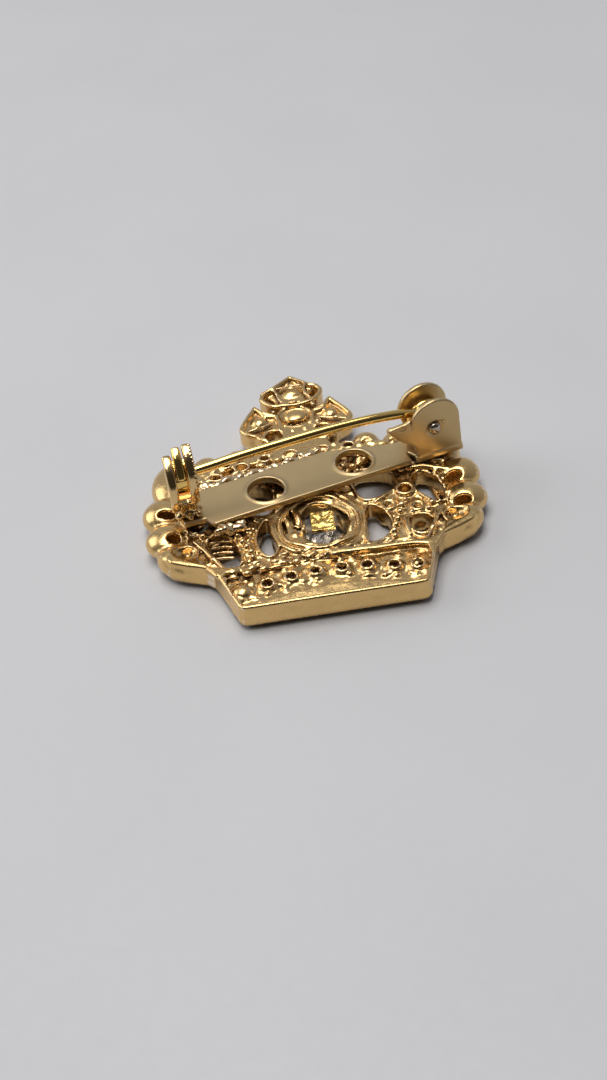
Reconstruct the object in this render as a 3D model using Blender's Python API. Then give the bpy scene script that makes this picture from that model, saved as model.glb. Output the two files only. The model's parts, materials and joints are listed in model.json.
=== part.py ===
"""Crown brooch: a gold-plated casting set with stones, with a bar-pin finding soldered on its back.

The brooch lies on its face. X runs across the crown, Y up the crown towards its cross, and Z out of
its back. Sizes are millimetres, in two frames: the crown's own, measured from the middle of its base
edge at the level it lies on, and the finding's, along its bar (u), across it (v) and out from the
casting's back rim (w). Both frames are empties that the pieces are parented to.
"""

import math

import bmesh
import bpy
from mathutils import Matrix, Vector

MM = 0.001
GAP = 0.08                       # clearance between neighbouring pieces

# Crown casting, heights above the surface it lies on.
CROWN_HEIGHT = 31.5              # base edge to the tip of the cross
FRONT_Z = 0.6                    # front face of the casting
FLOOR_Z = 1.95                   # floor of the hollow back
RIM_Z = 2.55                     # rim round the hollow back
CROSS_Z = 2.5                    # back of the cross
LOBE_Z = 1.45                    # middle of the rounded edge lobes
BAND_HALF_WIDTH = 8.1            # half of the base edge
BAND_TOP = (9.35, 4.3)           # the notch where the band meets the lobes

# Half outline of the casting inside its lobes, from the notch up to the foot of the cross.
SHOULDER = [(11.3, 5.7), (12.6, 7.8), (12.8, 10.4), (12.8, 14.0), (12.2, 17.5), (10.4, 19.6),
            (8.2, 19.8), (5.9, 20.0), (3.2, 20.4)]
# Rounded edge lobes of one side: x, y, half length, half width, half depth, turn in degrees.
LOBES = [(11.95, 7.3, 2.35, 1.55, 1.25, 40.0), (13.2, 10.8, 1.85, 1.75, 1.35, 0.0),
         (13.3, 14.2, 1.9, 1.8, 1.35, 0.0), (11.75, 18.6, 3.3, 2.35, 1.2, 98.0),
         (8.9, 20.2, 1.55, 1.5, 1.2, 0.0), (6.0, 20.7, 1.35, 1.3, 1.2, 0.0)]
# Hollow behind each lobe: x, y, half length, half width, turn.
LOBE_HOLLOWS = [(11.3, 7.7, 1.1, 0.75, 40.0), (12.7, 10.6, 1.0, 0.6, 0.0), (12.8, 13.7, 1.0, 0.6, 0.0),
                (11.6, 18.4, 1.3, 0.8, 98.0), (8.6, 19.8, 0.7, 0.6, 0.0), (5.95, 20.0, 0.6, 0.55, 0.0)]

# Cross: its half outline from the foot round to the tip, and the hollows behind its petals.
CROSS_OUTLINE = [(2.9, 19.8), (2.7, 21.2), (3.5, 22.4), (5.05, 24.2), (4.2, 25.8), (3.8, 27.2),
                 (2.0, 26.9), (2.65, 28.85), (1.3, 30.0), (0.0, CROWN_HEIGHT)]
CROSS_CENTRE = (0.0, 25.4)
CROSS_HOLLOWS = [(1.85, 28.4, 0.75, 0.5, 60.0), (3.2, 25.4, 0.95, 0.7, -10.0)]
CROSS_TIP_HOLLOW = (0.0, 29.6, 0.75, 0.6, 90.0)
CROSS_HOLE = (2.15, 22.9)
CROSS_HOLE_RADIUS = 0.6

# Band: the hollow that its stones' settings stand in lies between two lines, left to right.
BAND_HOLLOW = [(-7.6, 0.9), (-4.0, 1.4), (0.0, 1.8), (4.0, 1.4), (7.6, 0.9), (8.6, 4.6), (4.5, 4.95),
               (0.0, 5.1), (-4.5, 4.95), (-8.6, 4.6)]
BODY_HOLLOW = [(8.7, 5.5), (10.7, 6.6), (11.6, 8.4), (11.3, 11.5), (11.1, 14.5), (9.9, 17.2),
               (7.4, 18.4), (4.2, 18.9), (0.0, 19.1)]
BODY_HOLLOW_FOOT = (0.0, 5.8)

# Openings right through one side of the casting.
OPENINGS = [
    [(4.5, 12.3), (5.6, 12.6), (6.7, 13.3), (7.2, 14.3), (6.7, 15.6), (4.8, 16.2), (3.6, 15.4), (3.8, 13.9)],
    [(9.35, 13.2), (9.0, 14.4), (9.2, 15.2), (10.3, 15.1), (11.0, 14.0), (11.3, 12.2), (10.8, 11.1), (10.1, 11.0)],
    [(4.2, 6.6), (5.2, 6.95), (5.8, 7.9), (5.6, 9.5), (4.95, 10.4), (4.5, 10.2), (4.4, 8.6)],
    [(7.65, 8.3), (7.6, 7.1), (8.3, 6.6), (9.1, 7.2), (9.9, 8.3), (9.4, 8.6), (8.4, 8.6)],
]

# Stones: a table on the surface the brooch lies on, a girdle and a pavilion.
BAND_STONES = [(1.1, 3.9), (3.25, 3.7), (5.4, 3.25), (7.45, 2.95)]
TREFOIL_STONES = {"top": (8.15, 12.5), "inner": (6.4, 10.95), "outer": (8.85, 9.8)}
CENTRE = (0.0, 9.7)
SMALL_STONE = {"radius": 0.78, "girdle": 0.65, "depth": 1.2}
TREFOIL_STONE = {"radius": 0.68, "girdle": 0.65, "depth": 1.15}
CROSS_STONE = {"radius": 1.15, "girdle": 0.7, "depth": 1.45}
CENTRE_STONE = {"radius": 3.0, "girdle": 0.85, "depth": 2.15}
CENTRE_CULET = 1.3               # the large stone ends in a flat facet this far across, centre to corner
TABLE_SHARE = 0.6                # a table's radius as a share of the girdle's
GIRDLE = 0.1                     # height of the girdle
COLLAR_RADII = (3.35, 3.95)      # inside and outside of the large stone's collar
CUP_RADII = (0.5, 1.05)          # hole and outside of a trefoil cup

# Finding: its frame on the crown, then its sizes in that frame.
FINDING_PLACE = (0.0, 15.3)
FINDING_TURN = 14.5              # degrees, the bar is soldered on askew
PLATE_LOW = 0.25
PLATE_TOP = 0.8
PLATE_OUTLINE = [(-12.3, -1.3), (-10.3, -1.5), (-9.9, -2.5), (14.05, -2.5), (14.05, 0.62), (8.2, 0.62),
                 (6.5, 1.15), (4.8, 1.85), (3.0, 2.35), (1.5, 2.5), (-9.6, 2.5), (-10.3, 1.5), (-12.3, 1.3)]
PLATE_HOLES = [(-4.25, -0.25), (4.25, -0.25)]
PLATE_HOLE_RADIUS = 1.6
RIVET_AXIS = (11.3, 3.55)        # u and w of the pin's hinge
RIVET_RADIUS = 0.5
RIVET_HEAD = (0.75, 0.35)        # radius and height of each domed head
EAR_SPANS = [(-2.5, -2.0), (0.12, 0.62)]
EAR_FOOT = (9.55, 14.05)
EAR_ROUND = (11.4, 4.1, 2.38)    # centre and radius of the round top
TONGUE = [(10.6, 0.5), (9.5, 1.9), (8.5, 3.1), (7.3, 4.2), (7.0, 3.95), (8.1, 2.75), (9.1, 1.5), (9.7, 0.4)]
TONGUE_SPAN = (-1.7, -0.5)
EYE_RADIUS = 1.95
EYE_THICKNESS = 1.2
EYE_MIDDLE = -1.0                # v of the middle of the gap between the ears
STEM_RADIUS = 0.375
# Pin stem from its eye to its point, from the middle of the eye: u, v, w and radius.
STEM_PATH = [(0.0, 0.0, 1.575, 0.375), (-2.2, 0.0, 1.53, 0.375), (-4.0, 0.14, 1.5, 0.375),
             (-20.6, 1.55, 1.1, 0.375), (-22.3, 1.71, 1.07, 0.28), (-23.5, 1.82, 1.05, 0.1)]
CATCH_PLACE = (-11.6, 0.1, 4.95)
CATCH_TURN = -8.0                # degrees from the bar, so that the catch lines up with the pin
CATCH_RADII = (2.15, 2.6)
CATCH_RISE = 1.22                # its upper half is drawn up, taller than round
CATCH_ARC = (2.0, 250.0)         # degrees from the top, over the front and under, to the mouth
LEFT_ARM_SHIFT = (-0.3, -0.25)   # the left arm is bent forwards and down
ARM_SPANS = [(-1.15, -0.5), (0.4, 1.1)]
BRIDGE_ARC = (125.0, 250.0)      # the strip that joins the arms, under the rotor's slot
FOOT = (-12.25, -10.45, -0.95, 0.95)
BARREL_RADII = (1.22, 1.6)
BARREL_SPAN = (-1.1, 1.05)
BARREL_ARC = (6.0, 295.0)        # the rest of the turn is the slot that lets the pin in and out
FIN_ARC = (6.0, 68.0)
FIN_SPAN = (-0.3, 0.32)
# Solder along the plate's edges: u, v, w, half length, half width and half depth.
SOLDER = {"solder_upper": (-3.6, 3.02, 0.15, 3.9, 0.42, 0.6), "solder_lower": (-8.6, -2.95, 0.35, 1.2, 0.35, 0.48)}


def clear_scene():
    for item in list(bpy.data.objects):
        bpy.data.objects.remove(item, do_unlink=True)


def metal(name, colour, roughness):
    material = bpy.data.materials.new(name)
    material.use_nodes = True
    shader = material.node_tree.nodes["Principled BSDF"]
    shader.inputs["Base Color"].default_value = (*colour, 1.0)
    shader.inputs["Metallic"].default_value = 1.0
    shader.inputs["Roughness"].default_value = roughness
    return material


def glass(name, colour):
    material = metal(name, colour, 0.03)
    shader = material.node_tree.nodes["Principled BSDF"]
    shader.inputs["Metallic"].default_value = 0.0
    shader.inputs["Transmission Weight"].default_value = 0.8
    return material


def empty(name, location, turn=0.0, parent=None):
    """A frame for a group of pieces, placed in millimetres and turned about Z in degrees."""
    item = bpy.data.objects.new(name, None)
    item.location = Vector(location) * MM
    item.rotation_euler = (0.0, 0.0, math.radians(turn))
    item.parent = parent
    bpy.context.scene.collection.objects.link(item)
    return item


def piece(name, solid, parent, material=None, location=(0.0, 0.0, 0.0)):
    """Turn a bmesh in millimetres into an object. Without a material it is a hidden cutter or core."""
    bmesh.ops.recalc_face_normals(solid, faces=solid.faces)
    bmesh.ops.scale(solid, vec=(MM, MM, MM), verts=solid.verts)
    mesh = bpy.data.meshes.new(name)
    solid.to_mesh(mesh)
    solid.free()
    mesh.shade_smooth()
    mesh.set_sharp_from_angle(angle=math.radians(35.0))
    item = bpy.data.objects.new(name, mesh)
    item.location = Vector(location) * MM
    item.parent = parent
    bpy.context.scene.collection.objects.link(item)
    if material:
        mesh.materials.append(material)
    else:
        item.hide_render = True
        item.display_type = "WIRE"
    return item


def boolean(target, other, operation):
    modifier = target.modifiers.new(other.name, "BOOLEAN")
    modifier.operation = operation
    modifier.object = other
    modifier.solver = "EXACT"


def gather(*solids):
    """Put several bmeshes into one."""
    whole = bmesh.new()
    for solid in solids:
        scratch = bpy.data.meshes.new("scratch")
        solid.to_mesh(scratch)
        solid.free()
        whole.from_mesh(scratch)
        bpy.data.meshes.remove(scratch)
    return whole


def mirrored(outline):
    """Close a half outline, given at positive x, with its mirror image."""
    left = [(-x, y) for x, y in reversed(outline) if x > 0.0]
    return outline + left


def both_sides(items):
    """Rows that start with x, y, and their mirror images, whose last value is a turn."""
    return items + [(-row[0], *row[1:-1], 180.0 - row[-1]) for row in items]


def prism(outline, low, high):
    """An outline in X and Y, extruded from one height to another."""
    solid = bmesh.new()
    face = solid.faces.new([solid.verts.new((x, y, low)) for x, y in outline])
    side = bmesh.ops.extrude_face_region(solid, geom=[face])
    top = [item for item in side["geom"] if isinstance(item, bmesh.types.BMVert)]
    bmesh.ops.translate(solid, vec=(0.0, 0.0, high - low), verts=top)
    return solid


def upright(outline, start, end):
    """An outline in u and w, extruded along v."""
    solid = prism(outline, start, end)
    bmesh.ops.transform(solid, matrix=Matrix(((1, 0, 0, 0), (0, 0, 1, 0), (0, 1, 0, 0), (0, 0, 0, 1))),
                        verts=solid.verts)
    return solid


def ellipsoid(x, y, z, length, width, depth, turn, segments=18, rings=8):
    solid = bmesh.new()
    bmesh.ops.create_uvsphere(solid, u_segments=segments, v_segments=rings, radius=1.0)
    place = Matrix.Translation((x, y, z)) @ Matrix.Rotation(math.radians(turn), 4, "Z")
    bmesh.ops.transform(solid, matrix=place @ Matrix.Diagonal((length, width, depth, 1.0)), verts=solid.verts)
    return solid


def turned(profile, segments=24):
    """A solid of revolution about Z from a closed profile of radius and height."""
    solid = bmesh.new()
    rings = []
    for radius, height in profile:
        if radius == 0.0:
            rings.append([solid.verts.new((0.0, 0.0, height))] * segments)
            continue
        angles = [math.tau * step / segments for step in range(segments)]
        rings.append([solid.verts.new((radius * math.cos(a), radius * math.sin(a), height)) for a in angles])
    for low, high in zip(rings, rings[1:]):
        for step in range(segments):
            after = (step + 1) % segments
            corners = [low[step], low[after], high[after], high[step]]
            solid.faces.new(list(dict.fromkeys(corners)))
    return solid


def post(x, y, radius, low, high, segments=24):
    """A round post from one height to another."""
    solid = turned([(0.0, low), (radius, low), (radius, high), (0.0, high)], segments)
    bmesh.ops.translate(solid, vec=(x, y, 0.0), verts=solid.verts)
    return solid


def arc(inner, outer, start, end, steps=28, rise=1.0, shift=(0.0, 0.0)):
    """A ring sector's outline in v and w, its angles from the top towards the front of the finding.

    The half above the middle is drawn up by rise, and the whole sector is moved by shift.
    """
    angles = [math.radians(start + (end - start) * step / steps) for step in range(steps + 1)]
    rows = [(outer, a) for a in angles] + [(inner, a) for a in reversed(angles)]
    outline = [(-radius * math.sin(a), radius * math.cos(a)) for radius, a in rows]
    return [(v + shift[0], w * (rise if w > 0.0 else 1.0) + shift[1]) for v, w in outline]


def along_bar(outline, start, end):
    """An outline in v and w, extruded along u."""
    solid = prism(outline, start, end)
    bmesh.ops.transform(solid, matrix=Matrix(((0, 0, 1, 0), (1, 0, 0, 0), (0, 1, 0, 0), (0, 0, 0, 1))),
                        verts=solid.verts)
    return solid


def tube(path, segments=12):
    """A round wire through points that each carry a radius, with flat ends."""
    solid = bmesh.new()
    rings = []
    for index, (u, v, w, radius) in enumerate(path):
        before = Vector(path[max(index - 1, 0)][:3])
        after = Vector(path[min(index + 1, len(path) - 1)][:3])
        frame = (after - before).to_track_quat("Z", "Y").to_matrix()
        angles = [math.tau * step / segments for step in range(segments)]
        ring = [Vector((u, v, w)) + frame @ Vector((radius * math.cos(a), radius * math.sin(a), 0.0))
                for a in angles]
        rings.append([solid.verts.new(point) for point in ring])
    for low, high in zip(rings, rings[1:]):
        for step in range(segments):
            after = (step + 1) % segments
            solid.faces.new([low[step], low[after], high[after], high[step]])
    solid.faces.new(list(reversed(rings[0])))
    solid.faces.new(rings[-1])
    return solid


def stone(x, y, cut, grow=0.0, segments=10, culet=0.0):
    """A cut stone, table down. A seat is the same shape, grown, and open past the casting's front."""
    radius = cut["radius"] + grow
    table = radius if grow else TABLE_SHARE * radius
    profile = [(0.0, -grow * 4.0), (table, -grow * 4.0), (radius, cut["girdle"] - GIRDLE),
               (radius, cut["girdle"] + GIRDLE / 2.0), (culet + grow / 2.0, cut["depth"] + grow),
               (0.0, cut["depth"] + grow)]
    if culet == 0.0 and grow == 0.0:
        del profile[4]
    solid = turned(profile, segments)
    bmesh.ops.translate(solid, vec=(x, y, 0.0), verts=solid.verts)
    return solid


def seats():
    """Pockets for every stone, cut from the front."""
    solids = [stone(side * x, y, SMALL_STONE, GAP) for side in (-1, 1) for x, y in BAND_STONES]
    solids += [stone(side * x, y, TREFOIL_STONE, GAP) for side in (-1, 1) for x, y in TREFOIL_STONES.values()]
    solids.append(stone(*CROSS_CENTRE, CROSS_STONE, GAP))
    return gather(*solids)


def settings():
    """The collar of the large stone and the six trefoil cups, standing up from the hollow's floor."""
    solids = [post(*CENTRE, COLLAR_RADII[1], FLOOR_Z - 0.4, RIM_Z - 0.05, 40)]
    for x, y in TREFOIL_STONES.values():
        solids += [post(side * x, y, CUP_RADII[1], FLOOR_Z - 0.4, RIM_Z - 0.25, 16) for side in (-1, 1)]
    return gather(*solids)


def collar_bore():
    """The large stone's stepped seat: its pocket, the ledge that it rests on and the open back."""
    radius = CENTRE_STONE["radius"] + GAP
    ledge = CENTRE_STONE["girdle"] + GIRDLE / 2.0 + GAP
    solid = turned([(0.0, -0.5), (radius, -0.5), (radius, ledge), (radius - 0.28, ledge + 0.32),
                    (radius - 0.28, ledge + 0.7), (COLLAR_RADII[0], ledge + 0.7),
                    (COLLAR_RADII[0], RIM_Z + 0.5), (0.0, RIM_Z + 0.5)], 40)
    bmesh.ops.translate(solid, vec=(*CENTRE, 0.0), verts=solid.verts)
    return solid


def hollows():
    """Rounded pits in the back, behind the lobes, petals and band stones."""
    pits = []
    for x, y, length, width, turn in both_sides(LOBE_HOLLOWS):
        pits.append(ellipsoid(x, y, RIM_Z + 0.2, length, width, 0.95, turn, 12, 6))
    for x, y, length, width, turn in both_sides(CROSS_HOLLOWS) + [CROSS_TIP_HOLLOW]:
        pits.append(ellipsoid(x, y, CROSS_Z + 0.1, length, width, 0.7, turn, 12, 6))
    pits.append(ellipsoid(*CROSS_CENTRE, CROSS_Z + 0.2, 1.0, 1.0, 0.6, 0.0, 12, 6))
    for x, y in BAND_STONES:
        for side in (-1, 1):
            pits.append(ellipsoid(side * x, y, FLOOR_Z + 0.12, 0.55, 0.55, 0.42, 0.0, 10, 6))
    return gather(*pits)


def openings():
    """Everything cut right through the casting."""
    low, high = FRONT_Z - 0.5, RIM_Z + 0.5
    solids = [prism(outline, low, high) for outline in OPENINGS]
    solids += [prism([(-x, y) for x, y in outline], low, high) for outline in OPENINGS]
    for side in (-1, 1):
        solids += [post(side * x, y, CUP_RADII[0] * 0.8, FLOOR_Z - 0.3, high, 12)
                   for x, y in TREFOIL_STONES.values()]
        solids.append(post(side * CROSS_HOLE[0], CROSS_HOLE[1], CROSS_HOLE_RADIUS, low, high, 16))
    return gather(*solids)


def lobe_row(first):
    """Every second lobe, so that the ones in a row don't meet."""
    solids = []
    for x, y, length, width, depth, turn in both_sides(LOBES[first::2]):
        solids.append(ellipsoid(x, y, LOBE_Z, length, width, depth, turn))
    return gather(*solids)


def build_casting(frame, material):
    outline = mirrored([(BAND_HALF_WIDTH, 0.0), BAND_TOP] + SHOULDER)
    casting = piece("crown_casting", prism(outline, FRONT_Z, RIM_Z), frame, material)
    body_hollow = mirrored([BODY_HOLLOW_FOOT] + BODY_HOLLOW)
    hollow = gather(prism(BAND_HOLLOW, FLOOR_Z, RIM_Z + 0.5), prism(body_hollow, FLOOR_Z, RIM_Z + 0.5))
    steps = [
        ("cut_hollow_back", hollow, "DIFFERENCE"),
        ("add_lobes", lobe_row(0), "UNION"),
        ("add_lobes_between", lobe_row(1), "UNION"),
        ("add_cross", prism(mirrored(CROSS_OUTLINE), FRONT_Z + 0.1, CROSS_Z), "UNION"),
        ("add_settings", settings(), "UNION"),
        ("cut_openings", openings(), "DIFFERENCE"),
        ("cut_hollows", hollows(), "DIFFERENCE"),
        ("cut_collar_bore", collar_bore(), "DIFFERENCE"),
        ("cut_seats", seats(), "DIFFERENCE"),
    ]
    for name, solid, operation in steps:
        boolean(casting, piece(name, solid, frame), operation)


def build_stones(frame, clear, tinted):
    for side, word in ((-1, "left"), (1, "right")):
        for number, (x, y) in enumerate(BAND_STONES, start=1):
            piece(f"band_stone_{word}_{number}", stone(side * x, y, SMALL_STONE), frame, clear)
        for place, (x, y) in TREFOIL_STONES.items():
            piece(f"trefoil_stone_{word}_{place}", stone(side * x, y, TREFOIL_STONE), frame, clear)
    piece("cross_stone", stone(*CROSS_CENTRE, CROSS_STONE, segments=12), frame, clear)
    piece("centre_stone", stone(*CENTRE, CENTRE_STONE, segments=16, culet=CENTRE_CULET), frame, tinted)


def ear_outline():
    """An ear's outline: a square foot, a waist on the pin's side and a round top."""
    u, w, radius = EAR_ROUND
    angles = [math.pi * step / 14 for step in range(15)]
    top = [(u + radius * math.cos(a), w + radius * math.sin(a)) for a in angles]
    waist = [(EAR_FOOT[0], 2.6), (EAR_FOOT[0] + 0.1, PLATE_LOW)]
    return [(EAR_FOOT[1], PLATE_LOW)] + top + waist


def along_v(u, w, radius, start, end, segments=20):
    """A round post lying across the bar."""
    solid = post(0.0, 0.0, radius, start, end, segments)
    turn = Matrix.Translation((u, 0.0, w)) @ Matrix.Rotation(math.radians(-90.0), 4, "X")
    bmesh.ops.transform(solid, matrix=turn, verts=solid.verts)
    return solid


def build_plate(frame, material):
    plate = piece("bar_plate", prism(PLATE_OUTLINE, PLATE_LOW, PLATE_TOP), frame, material)
    ears = gather(*[upright(ear_outline(), *span) for span in EAR_SPANS])
    boolean(plate, piece("add_ears", ears, frame), "UNION")
    boolean(plate, piece("add_tongue", upright(TONGUE, *TONGUE_SPAN), frame), "UNION")
    holes = [post(u, v, PLATE_HOLE_RADIUS, PLATE_LOW - 1.0, PLATE_TOP + 1.0) for u, v in PLATE_HOLES]
    holes.append(along_v(*RIVET_AXIS, RIVET_RADIUS + GAP, -4.0, 2.0))
    boolean(plate, piece("cut_plate_holes", gather(*holes), frame), "DIFFERENCE")


def build_rivet(frame, material):
    """The hinge's rivet, its axis along v, with a domed head outside each ear."""
    near, far = EAR_SPANS[0][0] - GAP, EAR_SPANS[1][1] + GAP
    radius, height = RIVET_HEAD
    dome = [(radius * math.cos(a), height * math.sin(a)) for a in (0.0, 0.5, 1.0, math.pi / 2.0)]
    dome[-1] = (0.0, height)
    profile = [(r, near - h) for r, h in reversed(dome)] + [(RIVET_RADIUS, near), (RIVET_RADIUS, far)]
    profile += [(r, far + h) for r, h in dome]
    solid = turned(profile, 20)
    bmesh.ops.rotate(solid, matrix=Matrix.Rotation(math.radians(-90.0), 3, "X"), verts=solid.verts)
    piece("joint_rivet", solid, frame, material, (RIVET_AXIS[0], 0.0, RIVET_AXIS[1]))


def build_stem(frame, material):
    """The pin: a round eye on the rivet, and a wire that leaves the top of the eye."""
    origin = (RIVET_AXIS[0], EYE_MIDDLE, RIVET_AXIS[1])
    half = EYE_THICKNESS / 2.0
    stem = piece("pin_stem", along_v(0.0, 0.0, EYE_RADIUS, -half, half, 28), frame, material, origin)
    boolean(stem, piece("add_wire", tube(STEM_PATH), frame, location=origin), "UNION")
    bore = along_v(0.0, 0.0, RIVET_RADIUS + GAP, -2.0, 2.0)
    boolean(stem, piece("cut_eye", bore, frame, location=origin), "DIFFERENCE")


def build_catch(finding, frame, material, rotor_material):
    """The safety catch: two arms on a bridge and a foot, and the rotor that turns between them."""
    left, right = ARM_SPANS
    bridge = along_bar(arc(*CATCH_RADII, *BRIDGE_ARC, 14), left[0], right[1])
    housing = piece("catch_housing", bridge, frame, material)
    left_arm = along_bar(arc(*CATCH_RADII, CATCH_ARC[0], 150.0, 20, CATCH_RISE, LEFT_ARM_SHIFT), *left)
    boolean(housing, piece("add_left_arm", left_arm, frame), "UNION")
    right_arm = along_bar(arc(*CATCH_RADII, CATCH_ARC[0], 130.0, 18, CATCH_RISE), *right)
    boolean(housing, piece("add_right_arm", right_arm, frame), "UNION")
    u_low, u_high, v_low, v_high = FOOT
    sides = [(u_low, v_low), (u_high, v_low), (u_high, v_high), (u_low, v_high)]
    top = CATCH_PLACE[2] - CATCH_RADII[0] - 0.1
    boolean(housing, piece("add_foot", prism(sides, PLATE_TOP + GAP, top), finding), "UNION")

    barrel = along_bar(arc(*BARREL_RADII, *BARREL_ARC), *BARREL_SPAN)
    rotor = piece("catch_rotor", barrel, frame, rotor_material)
    fin = along_bar(arc(BARREL_RADII[1] - 0.15, CATCH_RADII[1], *FIN_ARC, 10, CATCH_RISE), *FIN_SPAN)
    boolean(rotor, piece("add_fin", fin, frame), "UNION")


def build_solder(frame, material):
    for name, bead in SOLDER.items():
        piece(name, ellipsoid(*bead, 0.0), frame, material)


def main():
    clear_scene()
    gold = metal("cast_gold_plate", (0.83, 0.62, 0.27), 0.25)
    sheet = metal("sheet_gold_plate", (0.78, 0.62, 0.33), 0.2)
    wire = metal("wire_gold_plate", (0.9, 0.68, 0.28), 0.12)
    steel = metal("rivet_metal", (0.7, 0.6, 0.42), 0.25)
    solder = metal("solder_metal", (0.8, 0.66, 0.38), 0.35)
    clear = glass("clear_stone", (0.9, 0.92, 0.95))
    tinted = glass("large_stone", (0.25, 0.27, 0.3))
    crown = empty("crown_frame", (0.0, -CROWN_HEIGHT / 2.0, 0.0))
    finding = empty("finding_frame", (*FINDING_PLACE, RIM_Z), FINDING_TURN, crown)
    build_casting(crown, gold)
    build_stones(crown, clear, tinted)
    build_plate(finding, sheet)
    build_rivet(finding, steel)
    build_stem(finding, wire)
    catch = empty("catch_frame", CATCH_PLACE, CATCH_TURN, finding)
    build_catch(finding, catch, sheet, wire)
    build_solder(finding, solder)


main()
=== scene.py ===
"""Looks for the crown brooch: a gold-plated casting with stones and a bar-pin finding on its back.

The brooch lies on its face. Shapes are worked out in millimetres, in three frames that come from the
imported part: the crown's own (x across, y up from the base edge, z out of the back), the finding's
(u along the bar, v across it, w out from the casting's back rim) and the catch's, turned a little.
"""

import json
import math

import bmesh
import bpy
import numpy as np
from mathutils import Matrix, Vector


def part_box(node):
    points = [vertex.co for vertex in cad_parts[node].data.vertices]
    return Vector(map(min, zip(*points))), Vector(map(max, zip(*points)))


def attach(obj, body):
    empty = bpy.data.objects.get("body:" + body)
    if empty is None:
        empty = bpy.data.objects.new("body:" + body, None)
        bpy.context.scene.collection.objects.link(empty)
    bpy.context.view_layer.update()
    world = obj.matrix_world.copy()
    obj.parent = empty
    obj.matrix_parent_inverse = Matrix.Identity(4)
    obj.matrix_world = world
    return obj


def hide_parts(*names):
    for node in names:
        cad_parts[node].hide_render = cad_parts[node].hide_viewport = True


MM = 0.001
FAR = 9.0                        # a distance, in millimetres, that counts as outside everything

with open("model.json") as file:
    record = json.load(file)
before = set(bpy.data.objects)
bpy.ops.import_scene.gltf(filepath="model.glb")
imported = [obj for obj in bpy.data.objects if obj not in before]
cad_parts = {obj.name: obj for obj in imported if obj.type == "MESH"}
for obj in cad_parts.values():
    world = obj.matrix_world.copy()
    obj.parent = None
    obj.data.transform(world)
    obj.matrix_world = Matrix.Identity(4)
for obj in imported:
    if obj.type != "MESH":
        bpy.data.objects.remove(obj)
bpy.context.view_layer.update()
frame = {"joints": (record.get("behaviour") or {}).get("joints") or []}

# Levels in the casting: the border's front edge, the hollow's floor, the back rim, and out of the metal.
FRONT_Z, FLOOR_Z, RIM_Z = 0.6, 1.95, 2.55
BELOW, ABOVE = -1.0, 4.0
# Grid steps of the casting, the finding's sheet, the catch, the solder and the foil.
CASTING_STEP, SHEET_STEP, CATCH_STEP, SOLDER_STEP, FOIL_STEP = 0.11, 0.09, 0.07, 0.08, 0.06
HINGE = Vector((11.3, -1.0, 3.55))    # the hinge's middle in the finding's frame


# ---- frames

def joint(name):
    return next(item for item in frame["joints"] if item["name"] == name)


def turned_frame(origin, along):
    """A frame with its first axis along a level direction and its third axis up."""
    across = Vector((0.0, 0.0, 1.0)).cross(along)
    rows = Matrix((along, across, Vector((0.0, 0.0, 1.0)))).transposed()
    return Matrix.Translation(origin) @ rows.to_4x4()


hinge_axis = Vector(joint("pin_hinge")["axis"])
bar = Vector((hinge_axis.y, -hinge_axis.x, 0.0)).normalized()
crown_place = Matrix.Translation((0.0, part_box("crown_casting")[0].y, 0.0))
finding_place = turned_frame(Vector((0.0, 0.0, 0.0)), bar)
finding_place.translation = Vector(joint("pin_hinge")["pos_m"]) - finding_place.to_3x3() @ (HINGE * MM)
catch_along = -Vector(joint("catch_lock")["axis"]).normalized()
catch_place = turned_frame(Vector(joint("catch_lock")["pos_m"]), catch_along)


# ---- signed distances

def rounded(values, other, soft):
    """Intersect two distances, with an edge of radius soft between them."""
    a, b = values + soft, other + soft
    return np.hypot(np.maximum(a, 0.0), np.maximum(b, 0.0)) + np.minimum(np.maximum(a, b), 0.0) - soft


def outline_distance(points, x, y):
    """Signed distance in a plane to a closed outline."""
    best = np.full(np.broadcast_shapes(x.shape, y.shape), 1e9)
    inside = np.zeros(best.shape, bool)
    for (ax, ay), (bx, by) in zip(points, points[1:] + points[:1]):
        ex, ey = bx - ax, by - ay
        share = np.clip(((x - ax) * ex + (y - ay) * ey) / (ex * ex + ey * ey), 0.0, 1.0)
        best = np.minimum(best, (x - ax - ex * share) ** 2 + (y - ay - ey * share) ** 2)
        if ey != 0.0:
            inside ^= ((ay > y) != (by > y)) & (x < ex * (y - ay) / ey + ax)
    return np.where(inside, -1.0, 1.0) * np.sqrt(best)


def between(p0, p1, p2, p3, steps):
    """Points of a smooth curve from p1 up to p2, not including p2."""
    return [0.5 * (2 * p1 + (p2 - p0) * t + (2 * p0 - 5 * p1 + 4 * p2 - p3) * t ** 2
                   + (3 * p1 - p0 - 3 * p2 + p3) * t ** 3) for t in (step / steps for step in range(steps))]


def curved(points, steps=5):
    """Round off a closed outline by running a smooth curve through its points."""
    count, result = len(points), []
    for index in range(count):
        four = (np.array(points[(index + shift) % count]) for shift in (-1, 0, 1, 2))
        result += [tuple(place) for place in between(*four, steps)]
    return result


def cloud(x, y, size, seed):
    """Smooth random values from -1 to 1 over a plane, size millimetres from one to the next."""
    table = np.random.default_rng(seed).uniform(-1.0, 1.0, (97, 97))
    u, v = np.broadcast_arrays(x / size + 48.0, y / size + 24.0)
    i, j = np.floor(u).astype(int), np.floor(v).astype(int)
    s, t = u - i, v - j
    s, t = s * s * (3 - 2 * s), t * t * (3 - 2 * t)
    i, j = i % 96, j % 96
    low = table[i, j] * (1 - s) + table[i + 1, j] * s
    high = table[i, j + 1] * (1 - s) + table[i + 1, j + 1] * s
    return low * (1 - t) + high * t


# Each shape below is (distance function of x, y, z; lowest corner; highest corner).

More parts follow.
